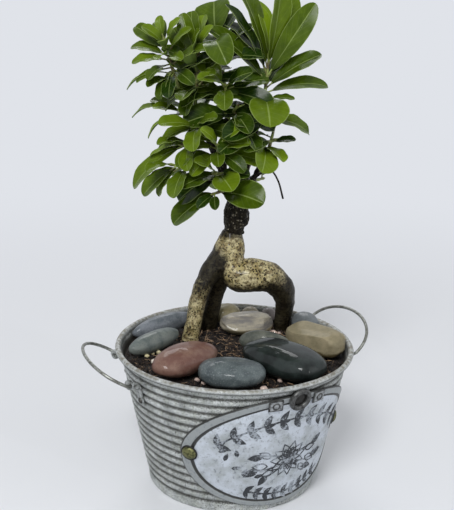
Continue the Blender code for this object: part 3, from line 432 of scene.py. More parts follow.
def wall_frame(azimuth, z, lift=0.0):
    """Frame on the wall: X along the rim, Y up the wall, Z out of it. Lengths in millimetres."""
    turn = Matrix.Rotation(radians(azimuth), 4, "Z")
    tilt = Matrix.Rotation(pi / 2 + atan(WALL_SLOPE), 4, "X")
    seat = Matrix.Translation((0, -wall_radius(z) * MM, z * MM))
    return turn @ seat @ tilt @ Matrix.Translation((0, 0, lift * MM))


def planted(x, y, z):
    """A point of the planting frame, in millimetres, as one of the solids' frame in metres."""
    return Matrix.Rotation(radians(PLANT_TURN), 3, "Z") @ Vector((x, y, z)) * MM


def smooth_line(points, parts):
    """Catmull-Rom line through (x, y, z, radius) points, as (place, radius) pairs."""
    rows = [Vector(p) for p in points]
    rows = [2 * rows[0] - rows[1]] + rows + [2 * rows[-1] - rows[-2]]
    line = []
    for i in range(1, len(rows) - 2):
        a, b, c, d = rows[i - 1:i + 3]
        for part in range(parts):
            t = part / parts
            line.append(0.5 * (2 * b + (c - a) * t + (2 * a - 5 * b + 4 * c - d) * t * t
                               + (3 * b - a - 3 * c + d) * t ** 3))
    line.append(rows[-2])
    return [(row.xyz, row.w) for row in line]


def add_piece(name, bm, materials, nodes=(), slot=None, body="pot", crease=None, closed=True):
    """Makes a piece from a bmesh, riding on a body and standing for the given solids.

    The faces of a closed piece are turned outwards first.
    """
    if closed:
        bmesh.ops.recalc_face_normals(bm, faces=bm.faces)
    mesh = bpy.data.meshes.new(name)
    bm.to_mesh(mesh)
    bm.free()
    mesh.shade_smooth()
    if crease is not None:
        mesh.set_sharp_from_angle(angle=radians(crease))
    for material in materials:
        mesh.materials.append(material)
    piece = bpy.data.objects.new(name, mesh)
    bpy.context.scene.collection.objects.link(piece)
    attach(piece, body)
    if nodes:
        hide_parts(*nodes)
    return piece


def apply_modifiers(piece):
    """Replaces a piece's mesh by what its modifiers make of it."""
    graph = bpy.context.evaluated_depsgraph_get()
    mesh = bpy.data.meshes.new_from_object(piece.evaluated_get(graph))
    piece.modifiers.clear()
    piece.data = mesh


def add_tube(bm, line, sides, material_index=0):
    """Closed tube along (place, radius) pairs."""
    rings = []
    side = Vector((1, 0, 0))
    for index, (place, radius) in enumerate(line):
        before = line[max(index - 1, 0)][0]
        after = line[min(index + 1, len(line) - 1)][0]
        along = (after - before).normalized()
        side = (side - along * side.dot(along)).normalized()
        turn = Matrix((side, along.cross(side), along)).transposed().to_4x4()
        frame_here = Matrix.Translation(place) @ turn
        ring = bmesh.ops.create_circle(bm, segments=sides, radius=radius, matrix=frame_here)
        rings.append(ring["verts"])
    edges = [{e for v in ring for e in v.link_edges} for ring in rings]
    faces = []
    for lower, upper in zip(edges, edges[1:]):
        faces += bmesh.ops.bridge_loops(bm, edges=list(lower | upper))["faces"]
    for ring in (rings[0], rings[-1]):
        faces += bmesh.ops.contextual_create(bm, geom=ring)["faces"]
    for face in faces:
        face.material_index = material_index


def paint_rest(bm, first):
    """Gives the second material to every face but the first ones."""
    for face in set(bm.faces) - set(first):
        face.material_index = 1


# Bucket ---------------------------------------------------------------------------------------

def galvanised_zinc(settings):
    """Hot-dipped zinc under a chalky wash: pale blotchy crests, dark deposit in the grooves."""
    material, add, shader, mm = start_material("weathered_galvanised_zinc")
    blotch = add("TexNoise", {"Vector": mm, "Scale": 1 / 9, "Detail": 5.0, "Roughness": 0.65})
    stretched = add("Mapping", {"Vector": mm, "Scale": (1, 1, 0.25)})
    streak = add("TexNoise", {"Vector": stretched, "Scale": 1 / 3, "Detail": 3.0})
    speck = add("TexNoise", {"Vector": mm, "Scale": 1 / 0.9, "Detail": 3.0, "Roughness": 0.7})
    base = lay(add, settings.zinc, settings.wash, blotch, 0.38, 0.62)
    tinted = lay(add, base, linear("9DA18D"), streak, 0.45, 0.75, 0.45)
    height = add("SeparateXYZ", {0: mm}).outputs["Z"]
    turns = add("Math", {0: height, 1: -LOWEST_GROOVE})
    pitch = settings.rib_pitch / MM
    phase = add("Math", {0: turns, 1: 2 * pi / pitch}, operation="MULTIPLY")
    wave = add("Math", {0: phase}, operation="COSINE")
    ragged = add("Math", {0: speck, 1: 2.6, 2: -1.3}, operation="MULTIPLY_ADD")
    rough_wave = add("Math", {0: wave, 1: ragged})
    groove = add("MapRange", {0: rough_wave, 1: -0.5, 2: 1.0, 4: 0.9})
    low = add("MapRange", {0: height, 1: FOOT_TOP, 2: FOOT_TOP + 1.3})
    high = add("MapRange", {0: height, 1: RIBS_END, 2: RIBS_END - 1.0})
    inside = add("Math", {0: low, 1: high}, operation="MULTIPLY")
    dirt = add("Math", {0: groove, 1: inside}, operation="MULTIPLY")
    dirty = add("Mix", {0: dirt, 6: tinted, 7: settings.patina}, data_type="RGBA")
    speckled = lay(add, dirty, settings.patina, speck, 0.5, 0.66, 0.8)
    # Paler along the top of the rolled rim: rubbed wear, and a painted highlight on the lip
    worn = lay(add, speckled, settings.wash, height, BUCKET_HEIGHT - 3.4, BUCKET_HEIGHT - 2.2, 0.3)
    # Rusty brown film on top of the rolled rim
    top = add("MapRange", {0: height, 1: BUCKET_HEIGHT - 1.7, 2: BUCKET_HEIGHT - 0.7})
    thin = add("MapRange", {0: streak, 1: 0.4, 2: 0.58, 3: 0.15, 4: 0.75})
    film = add("Math", {0: top, 1: thin}, operation="MULTIPLY")
    bead = add("Mix", {0: film, 6: worn, 7: linear("6B6353")}, data_type="RGBA")
    # The inside face of the wall is darker
    level = add("VectorMath", {0: mm, 1: (1, 1, 0)}, operation="MULTIPLY")
    reach = add("VectorMath", {0: level}, operation="LENGTH")
    outside = add("Math", {0: height, 1: WALL_SLOPE, 2: BASE_RADIUS}, operation="MULTIPLY_ADD")
    inward = add("Math", {0: outside, 1: reach}, operation="SUBTRACT")
    stained = lay(add, bead, linear("3A352D"), inward, SHEET - 0.35, SHEET - 0.1, 0.85)
    dull = add("MapRange", {0: blotch, 3: 0.5, 4: 0.72})
    bare = add("MapRange", {0: blotch, 1: 0.35, 2: 0.65, 3: 0.55, 4: 0.1})
    pitted = add("Bump", {"Strength": 0.6, "Distance": 0.00025, "Height": speck})
    connect(shader, {"Base Color": stained, "Roughness": dull, "Metallic": bare, "Normal": pitted})
    return material


def bucket_section(settings):
    """Half section: floor, smooth inside, rolled rim, ribs and rolled foot."""
    pitch, depth = settings.rib_pitch / MM, settings.rib_depth / MM
    bead_z, bead_r = BUCKET_HEIGHT - BEAD_RADIUS, RIM_RADIUS - BEAD_RADIUS
    points = [(0, SHEET), (wall_radius(0) - SHEET - 2, SHEET), (wall_radius(3) - SHEET, 3)]
    points += [(wall_radius(z) - SHEET, z) for z in (25, 50, 70, 80, 86, 90, 92)]
    points.append((wall_radius(bead_z) - SHEET, bead_z - BEAD_RADIUS))
    for step in range(15):
        angle = radians(185 - 18 * step)
        points.append((bead_r + BEAD_RADIUS * cos(angle), bead_z + BEAD_RADIUS * sin(angle)))
    steps = 8
    top = LOWEST_GROOVE + pitch * RIB_COUNT - 0.1
    for step in range(int((top - FOOT_TOP - 1) / pitch * steps) + 1):
        z = top - step * pitch / steps
        groove = (0.5 + 0.5 * cos(2 * pi * (z - LOWEST_GROOVE) / pitch)) ** 1.4
        points.append((wall_radius(z) - depth * groove, z))
    foot = BASE_RADIUS + FOOT_SWELL
    points += [(wall_radius(FOOT_TOP), FOOT_TOP), (foot - 0.1, 3.2), (foot, 2.4), (foot, 1.1),
               (foot - 0.3, 0.5), (foot - 1.0, 0), (0, 0)]
    return points


def spin_section(points, steps):
    """Turns a half section of (radius, height) millimetres about the bucket's axis."""
    bm = bmesh.new()
    verts = [bm.verts.new((r * MM, 0, z * MM)) for r, z in points]
    edges = [bm.edges.new(pair) for pair in zip(verts, verts[1:])]
    bmesh.ops.spin(bm, geom=verts + edges, axis=(0, 0, 1), cent=(0, 0, 0), angle=2 * pi,
            steps=steps, use_merge=True)
    bmesh.ops.remove_doubles(bm, verts=bm.verts, dist=1e-6)
    return bm


class BONSAI_OT_bucket(bpy.types.Operator):
    """Turns the ribbed bucket"""
    bl_idname = "bonsai.bucket"
    bl_label = "Bucket"

    def execute(self, context):
        settings = context.scene.bonsai_bucket
        bm = spin_section(bucket_section(settings), 180)
        for vert in bm.verts:
            # Hand-made sheet is never quite round: shallow dents a few centimetres across
            dent = 0.25 * noise.noise(vert.co * 35) + 0.1 * noise.noise(vert.co * 120)
            if vert.co.xy.length > 0.03:
                vert.co.xy *= 1 + dent * MM / vert.co.xy.length - 0.0004
        add_piece("bucket_shell", bm, [galvanised_zinc(settings)], ["bucket"], "galvanised_bucket",
                crease=60)
        return {"FINISHED"}


# Label plate ----------------------------------------------------------------------------------

def plate_edges(angle):
    """Heights of the plate's lower and upper edge at an angle from its middle."""
    across = max(0.0, 1 - (angle / LABEL_HALF_ANGLE) ** 2)
    lower = LABEL_MIDDLE - LABEL_TIP / 2 - LABEL_DROP * across ** 0.43
    upper = LABEL_MIDDLE + LABEL_TIP / 2 + LABEL_RISE * across ** 0.63
    return lower, upper


def on_plate(angle, z, lift):
    """A point over the plate, in metres."""
    return wall_frame(LABEL_AZIMUTH + angle, z, lift).translation


def printed_sheet(settings):
    """Enamelled zinc sheet: pale bluish face with grey bloom, black-brown in its grooves, which
    along the outer edge is a painted shadow.
    """
    material, add, shader, mm = start_material("bluish_enamelled_sheet")
    bloom = add("TexNoise", {"Vector": mm, "Scale": 1 / 14, "Detail": 5.0, "Roughness": 0.6})
    scuff = add("TexNoise", {"Vector": mm, "Scale": 1 / 2.2, "Detail": 4.0, "Roughness": 0.7})
    edge = add("Attribute", attribute_name="groove")
    band = add("Attribute", attribute_name="band")
    field = lay(add, settings.face, linear("A2A8AA"), bloom, 0.42, 0.66)
    base = add("Mix", {0: band.outputs["Fac"], 6: field, 7: linear("959A9B")}, data_type="RGBA")
    scuffed = lay(add, base, linear("6F757B"), scuff, 0.54, 0.7, 0.8)
    # Black-brown along the grooves; along the plate's outer edge it is a painted shadow
    ragged = add("Math", {0: scuff, 1: 0.8, 2: -0.4}, operation="MULTIPLY_ADD")
    depth = add("Math", {0: edge.outputs["Fac"], 1: ragged})
    dirty = lay(add, scuffed, linear("24231F"), depth, 0.35, 0.8, 0.95)
    dull = add("MapRange", {0: scuff, 3: 0.38, 4: 0.6})
    grain = add("Bump", {"Strength": 0.35, "Distance": 0.0002, "Height": scuff})
    connect(shader, {"Base Color": dirty, "Roughness": dull, "Normal": grain, "Metallic": 0.15})
    return material


def stencil_ink(settings):
    """Matt stencil ink, rubbed thin so that the sheet shows through in flecks."""
    material, add, shader, mm = start_material("rubbed_stencil_ink")
    rub = add("TexNoise", {"Vector": mm, "Scale": 1 / 1.3, "Detail": 4.0, "Roughness": 0.65})
    wide = add("TexNoise", {"Vector": mm, "Scale": 1 / 11, "Detail": 2.0})
    both = add("Math", {0: rub, 1: wide})
    base = lay(add, settings.ink, linear("9CA3AB"), both, 1.0, 1.2)
    connect(shader, {"Base Color": base, "Roughness": 0.7})
    return material


def add_figure(bm, outline, spot, turn, line=0, lift=FIELD_LIFT):
    """A thin printed figure from (along, across) millimetres, laid on the plate.

    spot is (angle, height); turn is in degrees from the plate's horizontal. With a width of
    line, only the figure's edge is printed.
    """
    before = len(bm.verts)
    face = bm.faces.new([bm.verts.new((x, y, 0)) for x, y in outline])
    faces = [face]
    if line:
        face.normal_update()
        rim = bmesh.ops.inset_region(bm, faces=[face], thickness=line, use_boundary=True,
                use_even_offset=True)["faces"]
        bmesh.ops.delete(bm, geom=[face], context="FACES_ONLY")
        faces = rim
    raised = bmesh.ops.extrude_face_region(bm, geom=faces, use_keep_orig=True)["geom"]
    tops = [v for v in raised if isinstance(v, bmesh.types.BMVert)]
    bmesh.ops.translate(bm, verts=tops, vec=(0, 0, INK))
    swing = Matrix.Rotation(radians(turn), 4, "Z")
    radius = wall_radius(spot[1])
    for vert in list(bm.verts)[before:]:
        flat = swing @ vert.co
        angle = spot[0] + degrees(flat.x / radius)
        vert.co = on_plate(angle, spot[1] + flat.y, lift + vert.co.z)


def leaf_outline(length, width, points=7):
    """Pointed oval from its foot at the origin, along +X."""
    upper = [(length * t / points, width / 2 * sin(pi * (t / points) ** 0.8))
             for t in range(1, points)]
    return [(0, 0)] + [(x, -y) for x, y in upper] + [(length, 0)] + upper[::-1]


def round_outline(radius, points=12):
    return [(radius * cos(2 * pi * i / points), radius * sin(2 * pi * i / points))
            for i in range(points)]


def stem_outline(length, width, sag, points=8):
    """Curved strip of even width from the origin along +X."""
    middle = [(length * t / points, sag * sin(pi * t / points)) for t in range(points + 1)]
    return [(x, y - width / 2) for x, y in middle] + [(x, y + width / 2) for x, y in middle[::-1]]


def garland(bm, reach, count, height, rise, size):
    """Leaves in threes along an arc, each three on a short stem."""
    for index in range(count):
        share = 2 * index / (count - 1) - 1
        angle = reach * share
        z = height + rise * (1 - share * share)
        slope = degrees(atan2(-2 * rise * share, radians(reach) * wall_radius(z)))
        for side in (1, -1):
            lean = slope + side * 52
            add_figure(bm, leaf_outline(size * 0.8, size * 0.36), (angle, z), lean)
        add_figure(bm, leaf_outline(size * 0.62, size * 0.26), (angle, z), slope)
        add_figure(bm, stem_outline(size * 0.95, size * 0.1, 0.3), (angle, z), slope, 0,
                FIELD_LIFT - 0.05)


def sprig(bm, middle, z):
    """An open flower of three rounds of petals, with leaved stems around it."""
    for petals, length, width, line, lift in ((11, 14.0, 7.0, 0.7, 0.0),
                                              (9, 9.5, 5.4, 0.6, 0.08), (7, 5.6, 2.8, 0, 0.16)):
        for index in range(petals):
            add_figure(bm, leaf_outline(length, width), (middle, z),
                    360 * index / petals + 8 * length, line, FIELD_LIFT + lift)
    add_figure(bm, round_outline(1.8), (middle, z), 0, 0, FIELD_LIFT + 0.2)
    for turn, sag, size in ((192, 2.5, 30), (-12, -2.5, 30), (216, 1.5, 25), (-36, -1.5, 25),
            (165, -1.5, 27), (15, 1.5, 27)):
        reach = radians(turn)
        for share in (0.5, 0.72):
            spot = (middle + degrees(size * share * cos(reach) / wall_radius(z)),
                    z + size * share * sin(reach))
            add_figure(bm, leaf_outline(size * 0.38, size * 0.2), spot, turn + 150 * share - 90,
                    0.8 if share < 0.6 else 0)
        add_figure(bm, stem_outline(size * 0.9, 1.2, sag), (middle, z), turn, 0, FIELD_LIFT - 0.1)


class BONSAI_OT_label(bpy.types.Operator):
    """Presses the label plate and prints its ornament"""
    bl_idname = "bonsai.label"
    bl_label = "Label plate"

    def execute(self, context):
        settings = context.scene.bonsai_label
        bm = bmesh.new()
        groove = bm.verts.layers.float.new("groove")
        band = bm.verts.layers.float.new("band")
        bmesh.ops.create_circle(bm, segments=180, radius=1, cap_ends=True)
        middle = bm.faces[:]
        for (outer, _), (inner, _) in zip(LABEL_RINGS, LABEL_RINGS[1:]):
            bmesh.ops.inset_region(bm, faces=middle, thickness=outer - inner, use_boundary=True,
                    use_even_offset=False)
        shares = [share for share, _ in LABEL_RINGS]
        lifts = dict(LABEL_RINGS)
        for vert in bm.verts:
            share = min(shares, key=lambda s: abs(s - vert.co.xy.length))
            turn = atan2(vert.co.y, vert.co.x)
            angle = LABEL_HALF_ANGLE * cos(turn)
            edge = plate_edges(angle)[1 if turn >= 0 else 0]
            z = LABEL_MIDDLE + (edge - LABEL_MIDDLE) * share
            # Painted shadow along the outer edge, and a dark line in the inner groove
            vert[groove] = 1.0 if share > 0.98 or 0.87 < share < 0.905 else 0.0
            vert[band] = 1.0 if share > 0.89 else 0.0
            vert.co = on_plate(angle * share, z, lifts[share])
        bmesh.ops.recalc_face_normals(bm, faces=bm.faces)
        if sum(face.normal.y for face in bm.faces) > 0:
            bmesh.ops.reverse_faces(bm, faces=bm.faces)
        plate = add_piece("label_sheet", bm, [printed_sheet(settings)], ["label_plate"],
                "label_zinc", crease=50, closed=False)
        shell = plate.modifiers.new("sheet", "SOLIDIFY")
        shell.thickness = LABEL_SHEET * MM
        shell.offset = -1.0
        ornament = bmesh.new()
        garland(ornament, 40, 11, 55.5, 17, 12.5)
        garland(ornament, 24, 9, 19.5, -5.5, 9)
        sprig(ornament, 1, 41)
        for angle, z, turn in ((-39, 51, 20), (-36, 44, 70), (-32, 38, 5), (-26, 32, 60),
                (-19, 30, 15), (-29, 47, 100)):
            add_figure(ornament, leaf_outline(6.5, 3.0), (angle, z), turn)
        add_piece("label_ornament", ornament, [stencil_ink(settings)], slot="label_zinc",
                crease=30)
        return {"FINISHED"}


def add_rounded_box(bm, size, edge, place):
    """Box with rounded edges; sizes in millimetres, in a frame in metres."""
    made = bmesh.ops.create_cube(bm, size=1)["verts"]
    for vert in made:
        vert.co = Vector(a * b for a, b in zip(vert.co, size))
    edges = list({e for v in made for e in v.link_edges})
    bevelled = bmesh.ops.bevel(bm, geom=edges, offset=edge, segments=2, profile=0.5,
            affect="EDGES", material=-1)["faces"]
    verts = {v for f in bevelled for v in f.verts}
    bmesh.ops.transform(bm, matrix=place @ Matrix.Scale(MM, 4), verts=list(verts))


def add_ring(bm, radius, wire, place):
    """Round ring of round wire."""
    side = Matrix.Translation((radius, 0, 0)) @ Matrix.Rotation(pi / 2, 4, "X")
    ring = bmesh.ops.create_circle(bm, segments=12, radius=wire, matrix=side)["verts"]
    edges = list({e for v in ring for e in v.link_edges})
    before = set(bm.verts) - set(ring)
    bmesh.ops.spin(bm, geom=ring + edges, axis=(0, 0, 1), cent=(0, 0, 0), angle=2 * pi, steps=32,
            use_merge=True)
    made = [v for v in bm.verts if v not in before]
    bmesh.ops.transform(bm, matrix=place @ Matrix.Scale(MM, 4), verts=made)


def add_dome(bm, half_sizes, place, segments=20):
    """Upper part of an ellipsoid over a flat underside."""
    made = bmesh.ops.create_uvsphere(bm, u_segments=segments, v_segments=segments // 2 + 1,
            radius=1)["verts"]
    for vert in made:
        vert.co.z = max(vert.co.z, -0.15)
    stretch = Matrix.Diagonal((*half_sizes, 1))
    bmesh.ops.transform(bm, matrix=place @ Matrix.Scale(MM, 4) @ stretch, verts=made)


def aged_brass(settings):
    """Brass rivet gone olive, with verdigris and dark pits."""
    material, add, shader, mm = start_material("aged_brass")
    mottle = add("TexNoise", {"Vector": mm, "Scale": 1 / 1.6, "Detail": 4.0})
    base = lay(add, settings.brass, linear("3A3D27"), mottle, 0.45, 0.62)
    dull = add("MapRange", {0: mottle, 3: 0.3, 4: 0.6})
    pits = add("Bump", {"Strength": 0.8, "Distance": 0.0004, "Height": mottle})
    connect(shader, {"Base Color": base, "Roughness": dull, "Normal": pits, "Metallic": 0.8})
    return material


def dull_steel(name, pale, dark, metallic):
    """Old drawn steel: satin grey with darker rubbed patches."""
    material, add, shader, mm = start_material(name)
    mottle = add("TexNoise", {"Vector": mm, "Scale": 1 / 2.5, "Detail": 4.0, "Roughness": 0.6})
    base = lay(add, linear(pale), linear(dark), mottle, 0.4, 0.66)
    dull = add("MapRange", {0: mottle, 3: 0.3, 4: 0.55})
    grain = add("Bump", {"Strength": 0.4, "Distance": 0.0002, "Height": mottle})
    connect(shader, {"Base Color": base, "Roughness": dull, "Normal": grain, "Metallic": metallic})
    return material


class BONSAI_OT_label_fittings(bpy.types.Operator):
    """Adds the ring, the clasps and the rivets of the label plate"""
    bl_idname = "bonsai.label_fittings"
    bl_label = "Label fittings"

    def execute(self, context):
        settings = context.scene.bonsai_label
        dark = dull_steel("patinated_steel", "5A5B5A", "201E1C", 0.5)
        # Dark steel, also used as the painted shade inside the eyelet
        black = dull_steel("blackened_steel", "33322F", "141311", 0.5)
        pale = dull_steel("pale_galvanised_steel", "A2A6A8", "5E6061", 0.4)
        ring = bmesh.new()
        seat = partial(wall_frame, LABEL_AZIMUTH, EYELET_HEIGHT)
        add_ring(ring, EYELET_RADIUS, EYELET_WIRE, seat(3.0))
        rim = ring.faces[:]
        # A dark dome inside the ring stands for the shade in its hole: painted shade
        add_dome(ring, EYELET_DOME, seat(1.9), 24)
        paint_rest(ring, rim)
        add_piece("label_eyelet", ring, [dark, black], ["label_ring"], "fittings_zinc", crease=50)
        for name, side in (("left", -1), ("right", 1)):
            angle = side * CLASP_ANGLE
            seat = partial(wall_frame, LABEL_AZIMUTH + angle, plate_edges(angle)[1] - CLASP_DROP)
            clasp = bmesh.new()
            add_rounded_box(clasp, CLASP_PLATE, 0.3, seat(2.4))
            add_dome(clasp, CLASP_STUD, seat(2.9))
            plain = clasp.faces[:]
            add_rounded_box(clasp, CLASP_FRAME, 0.3, seat(2.2))
            add_ring(clasp, CLASP_RING, 0.5, seat(3.0))
            paint_rest(clasp, plain)
            add_piece("label_clasp_plate_" + name, clasp, [pale, dark], ["label_clasp_" + name],
                    "fittings_zinc", crease=40)
            rivet = bmesh.new()
            place = wall_frame(LABEL_AZIMUTH + side * LABEL_RIVET_ANGLE, LABEL_MIDDLE + 1,
                    LABEL_RIVET_LIFT)
            add_dome(rivet, LABEL_RIVET, place, 24)
            dome = rivet.faces[:]
            add_ring(rivet, LABEL_RIVET[0] + 0.1, 0.55, place)
            paint_rest(rivet, dome)
            add_piece("label_rivet_dome_" + name, rivet, [aged_brass(settings), black],
                    ["label_rivet_" + name], "aged_brass", crease=40)
        return {"FINISHED"}


# Ears and handles -----------------------------------------------------------------------------

def hinge_frame(side):
    """Frame on a handle's hinge: X out of the bucket, Y along the hinge line, Z up."""
    turn = Matrix.Rotation(radians(side * HANDLE_AZIMUTH - 90), 4, "Z")
    return turn @ Matrix.Translation(Vector((HINGE_RADIUS, 0, HINGE_Z)) * MM)


def ear_azimuth(side, end):
    return side * HANDLE_AZIMUTH + end * degrees(asin(EAR_REACH / HINGE_RADIUS))


def handle_line():
    """Loop of the handle in its own plane: (away from the hinge, along it)."""
    inner = EAR_REACH - EAR_LENGTH / 2 - 0.6
    outer = EAR_REACH + EAR_LENGTH / 2 + 1.5
    half = [(0, inner), (0, inner + 2), (0, outer - 1.2), (0.35, outer - 0.35)]
    steps = 16
    for step in range(1, steps + 1):
        turn = pi / 2 * step / steps
        bulge = HANDLE_BULGE * sin(2 * turn)
        half.append((HANDLE_REACH * sin(turn), (outer + 1.0) * cos(turn) + bulge))
    return half + [(u, -v) for u, v in reversed(half[:-1])]


class BONSAI_OT_handles(bpy.types.Operator):
    """Bends the two wire handles and rivets on their ears"""
    bl_idname = "bonsai.handles"
    bl_label = "Handles and ears"

    def execute(self, context):
        settings = context.scene.bonsai_bucket
        wire = dull_steel("zinc_plated_wire", "93958F", "55544C", 0.75)
        sheet = dull_steel("galvanised_strap", "A9ADAC", "5F605C", 0.45)
        dark = dull_steel("blackened_rivet", "55534F", "22211F", 0.6)
        for hand, side, raised in (("left", -1, LEFT_RAISED), ("right", 1, RIGHT_RAISED)):
            angle = radians(raised)
            line = [(Vector((u * cos(angle), v, u * sin(angle))), settings.handle_wire / MM)
                    for u, v in handle_line()]
            loop = bmesh.new()
            add_tube(loop, line, 12)
            bmesh.ops.transform(loop, matrix=hinge_frame(side) @ Matrix.Scale(MM, 4),
                    verts=loop.verts)
            add_piece("wire_handle_" + hand, loop, [wire], ["handle_" + hand], "handle_wire",
                    body=hand + "_handle", crease=60)
            for place, end in (("front", -1), ("rear", 1)):
                self.make_ear(hand, place, side, end, sheet, dark)
        return {"FINISHED"}

    def make_ear(self, hand, place, side, end, sheet, dark):
        azimuth = ear_azimuth(side, end)
        ear = bmesh.new()
        add_rounded_box(ear, STRAP, 0.35, wall_frame(azimuth, STRAP_Z, 0.9))
        add_rounded_box(ear, NECK, 0.4, wall_frame(azimuth, HINGE_Z - 1.6, 2.1))
        along = Matrix.Rotation(pi / 2, 4, "X")
        axis = hinge_frame(side) @ Matrix.Translation((0, end * EAR_REACH * MM, 0)) @ along
        # The knuckle is the strap's end rolled round the wire
        roll = bmesh.ops.create_cone(ear, cap_ends=False, segments=24, radius1=KNUCKLE_RADIUS,
                radius2=KNUCKLE_RADIUS, depth=EAR_LENGTH)["verts"]
        walls = list({f for v in roll for f in v.link_faces})
        inner = bmesh.ops.solidify(ear, geom=walls, thickness=KNUCKLE_SHEET)["geom"]
        rolled = set(roll) | {v for v in inner if isinstance(v, bmesh.types.BMVert)}
        bmesh.ops.transform(ear, matrix=axis @ Matrix.Scale(MM, 4), verts=list(rolled))
        add_piece("ear_strap_%s_%s" % (hand, place), ear, [sheet], ["ear_%s_%s" % (hand, place)],
                "fittings_zinc", crease=40)
        rivet = bmesh.new()
        add_dome(rivet, EAR_RIVET, wall_frame(azimuth, EAR_RIVET_Z, 1.5), 16)
        add_piece("ear_rivet_%s_%s" % (hand, place), rivet, [dark],
                ["rivet_%s_%s" % (hand, place)], "rivet_steel", crease=40)


# Peat -----------------------------------------------------------------------------------------

def moist_peat(settings):
    """Moist peat: near-black brown crumbs with drier reddish fibres and pale flecks."""
    material, add, shader, mm = start_material("moist_peat")
    clump = add("TexNoise", {"Vector": mm, "Scale": 1 / 6, "Detail": 6.0, "Roughness": 0.7})
    fine = add("TexNoise", {"Vector": mm, "Scale": 1 / 1.1, "Detail": 4.0, "Roughness": 0.7})
    base = lay(add, settings.peat, linear("2C1D15"), clump, 0.42, 0.7)
    flecked = lay(add, base, settings.fibre, fine, 0.61, 0.67, 0.85)
    crumbly = add("Bump", {"Strength": 1.0, "Distance": 0.0012, "Height": fine})
    connect(shader, {"Base Color": flecked, "Normal": crumbly, "Roughness": 0.85})
    return material


def dry_fibre(settings):
    """Dry plant fibre lying on the peat."""
    material, add, shader, mm = start_material("dry_fibre")
    patch = add("TexNoise", {"Vector": mm, "Scale": 1 / 5})
    base = lay(add, linear("1C120C"), settings.fibre, patch, 0.4, 0.6)
    connect(shader, {"Base Color": base, "Roughness": 0.8})
    return material


def under_stone(x, y):
    """Whether a point of the planting frame lies under a stone."""
    for stone in STONES:
        turn = radians(stone.yaw)
        dx, dy = x - stone.x, y - stone.y
        along = dx * cos(turn) + dy * sin(turn)
        across = dy * cos(turn) - dx * sin(turn)
        if hypot(along / stone.half_sizes[0], across / stone.half_sizes[1]) < 0.95:
            return True
    return False


def open_spots(rng, radius, count):
    """Random points of the planting frame within a radius, between the stones."""
    while count:
        angle, reach = rng.uniform(0, 2 * pi), radius * rng.random() ** 0.5
        x, y = reach * cos(angle), reach * sin(angle)
        if not under_stone(x, y):
            count -= 1
            yield x, y


class BONSAI_OT_peat(bpy.types.Operator):
    """Fills the bucket with peat and scatters crumbs and fibres on it"""
    bl_idname = "bonsai.peat"
    bl_label = "Peat"

    def execute(self, context):
        settings = context.scene.bonsai_planting
        rim = wall_radius(SOIL_LEVEL) - SHEET - PEAT_GAP
        section = [(rim * i / 64, SOIL_LEVEL) for i in range(65)]
        section += [(wall_radius(40) - SHEET - PEAT_GAP, 40),
                (wall_radius(2) - SHEET - 3, PEAT_UNDERSIDE), (0, PEAT_UNDERSIDE)]
        bm = spin_section(section, 200)
        for vert in bm.verts:
            if vert.co.z > (SOIL_LEVEL - 1) * MM:
                place = vert.co / MM
                lump = noise.noise(place / 9) + 0.6 * noise.noise(place / 3.2)
                edge = min(1.0, (rim - place.xy.length) / 6)
                vert.co.z += (1.7 * lump - 0.5 + 0.6 * edge) * MM
        rng = random.Random(PEAT_SEED)
        for x, y in open_spots(rng, rim - 2, settings.crumbs):
            size = rng.choice((0.5, 0.7, 0.9, 1.2, 1.9))
            spot = Matrix.Translation((x, y, SOIL_LEVEL + rng.uniform(-0.2, 1.4)))
            tilt = Matrix.Rotation(rng.uniform(0, pi), 4, (rng.random(), rng.random(), 1))
            flat = Matrix.Diagonal((size, size * 0.7, size * 0.55, 1))
            bmesh.ops.create_icosphere(bm, subdivisions=1, radius=1,
                    matrix=PLANTING @ spot @ tilt @ flat)
        add_piece("peat_bed", bm, [moist_peat(settings)], ["soil"], "peat_soil", crease=70)
        fibres = bmesh.new()
        for x, y in open_spots(rng, rim - 5, settings.fibres):
            turn, length = rng.uniform(0, 2 * pi), rng.uniform(3, 11)
            bow = rng.uniform(-1.5, 1.5)
            radius = rng.uniform(0.12, 0.3)
            line = []
            for part in range(4):
                along = length * (part / 3 - 0.5)
                aside = bow * (1 - (part / 1.5 - 1) ** 2)
                line.append((Vector((x + along * cos(turn) - aside * sin(turn),
                                     y + along * sin(turn) + aside * cos(turn),
                                     SOIL_LEVEL + 1.2 + rng.uniform(-0.4, 1.0))), radius))
            add_tube(fibres, line, 3)
        for foot, end in STRAWS:
            add_tube(fibres, [(Vector(foot), 0.35), (Vector(end), 0.25)], 4)
        bmesh.ops.transform(fibres, matrix=PLANTING, verts=fibres.verts)
        add_piece("peat_fibres", fibres, [dry_fibre(settings)], slot="peat_soil")
        return {"FINISHED"}


# Stones ---------------------------------------------------------------------------------------

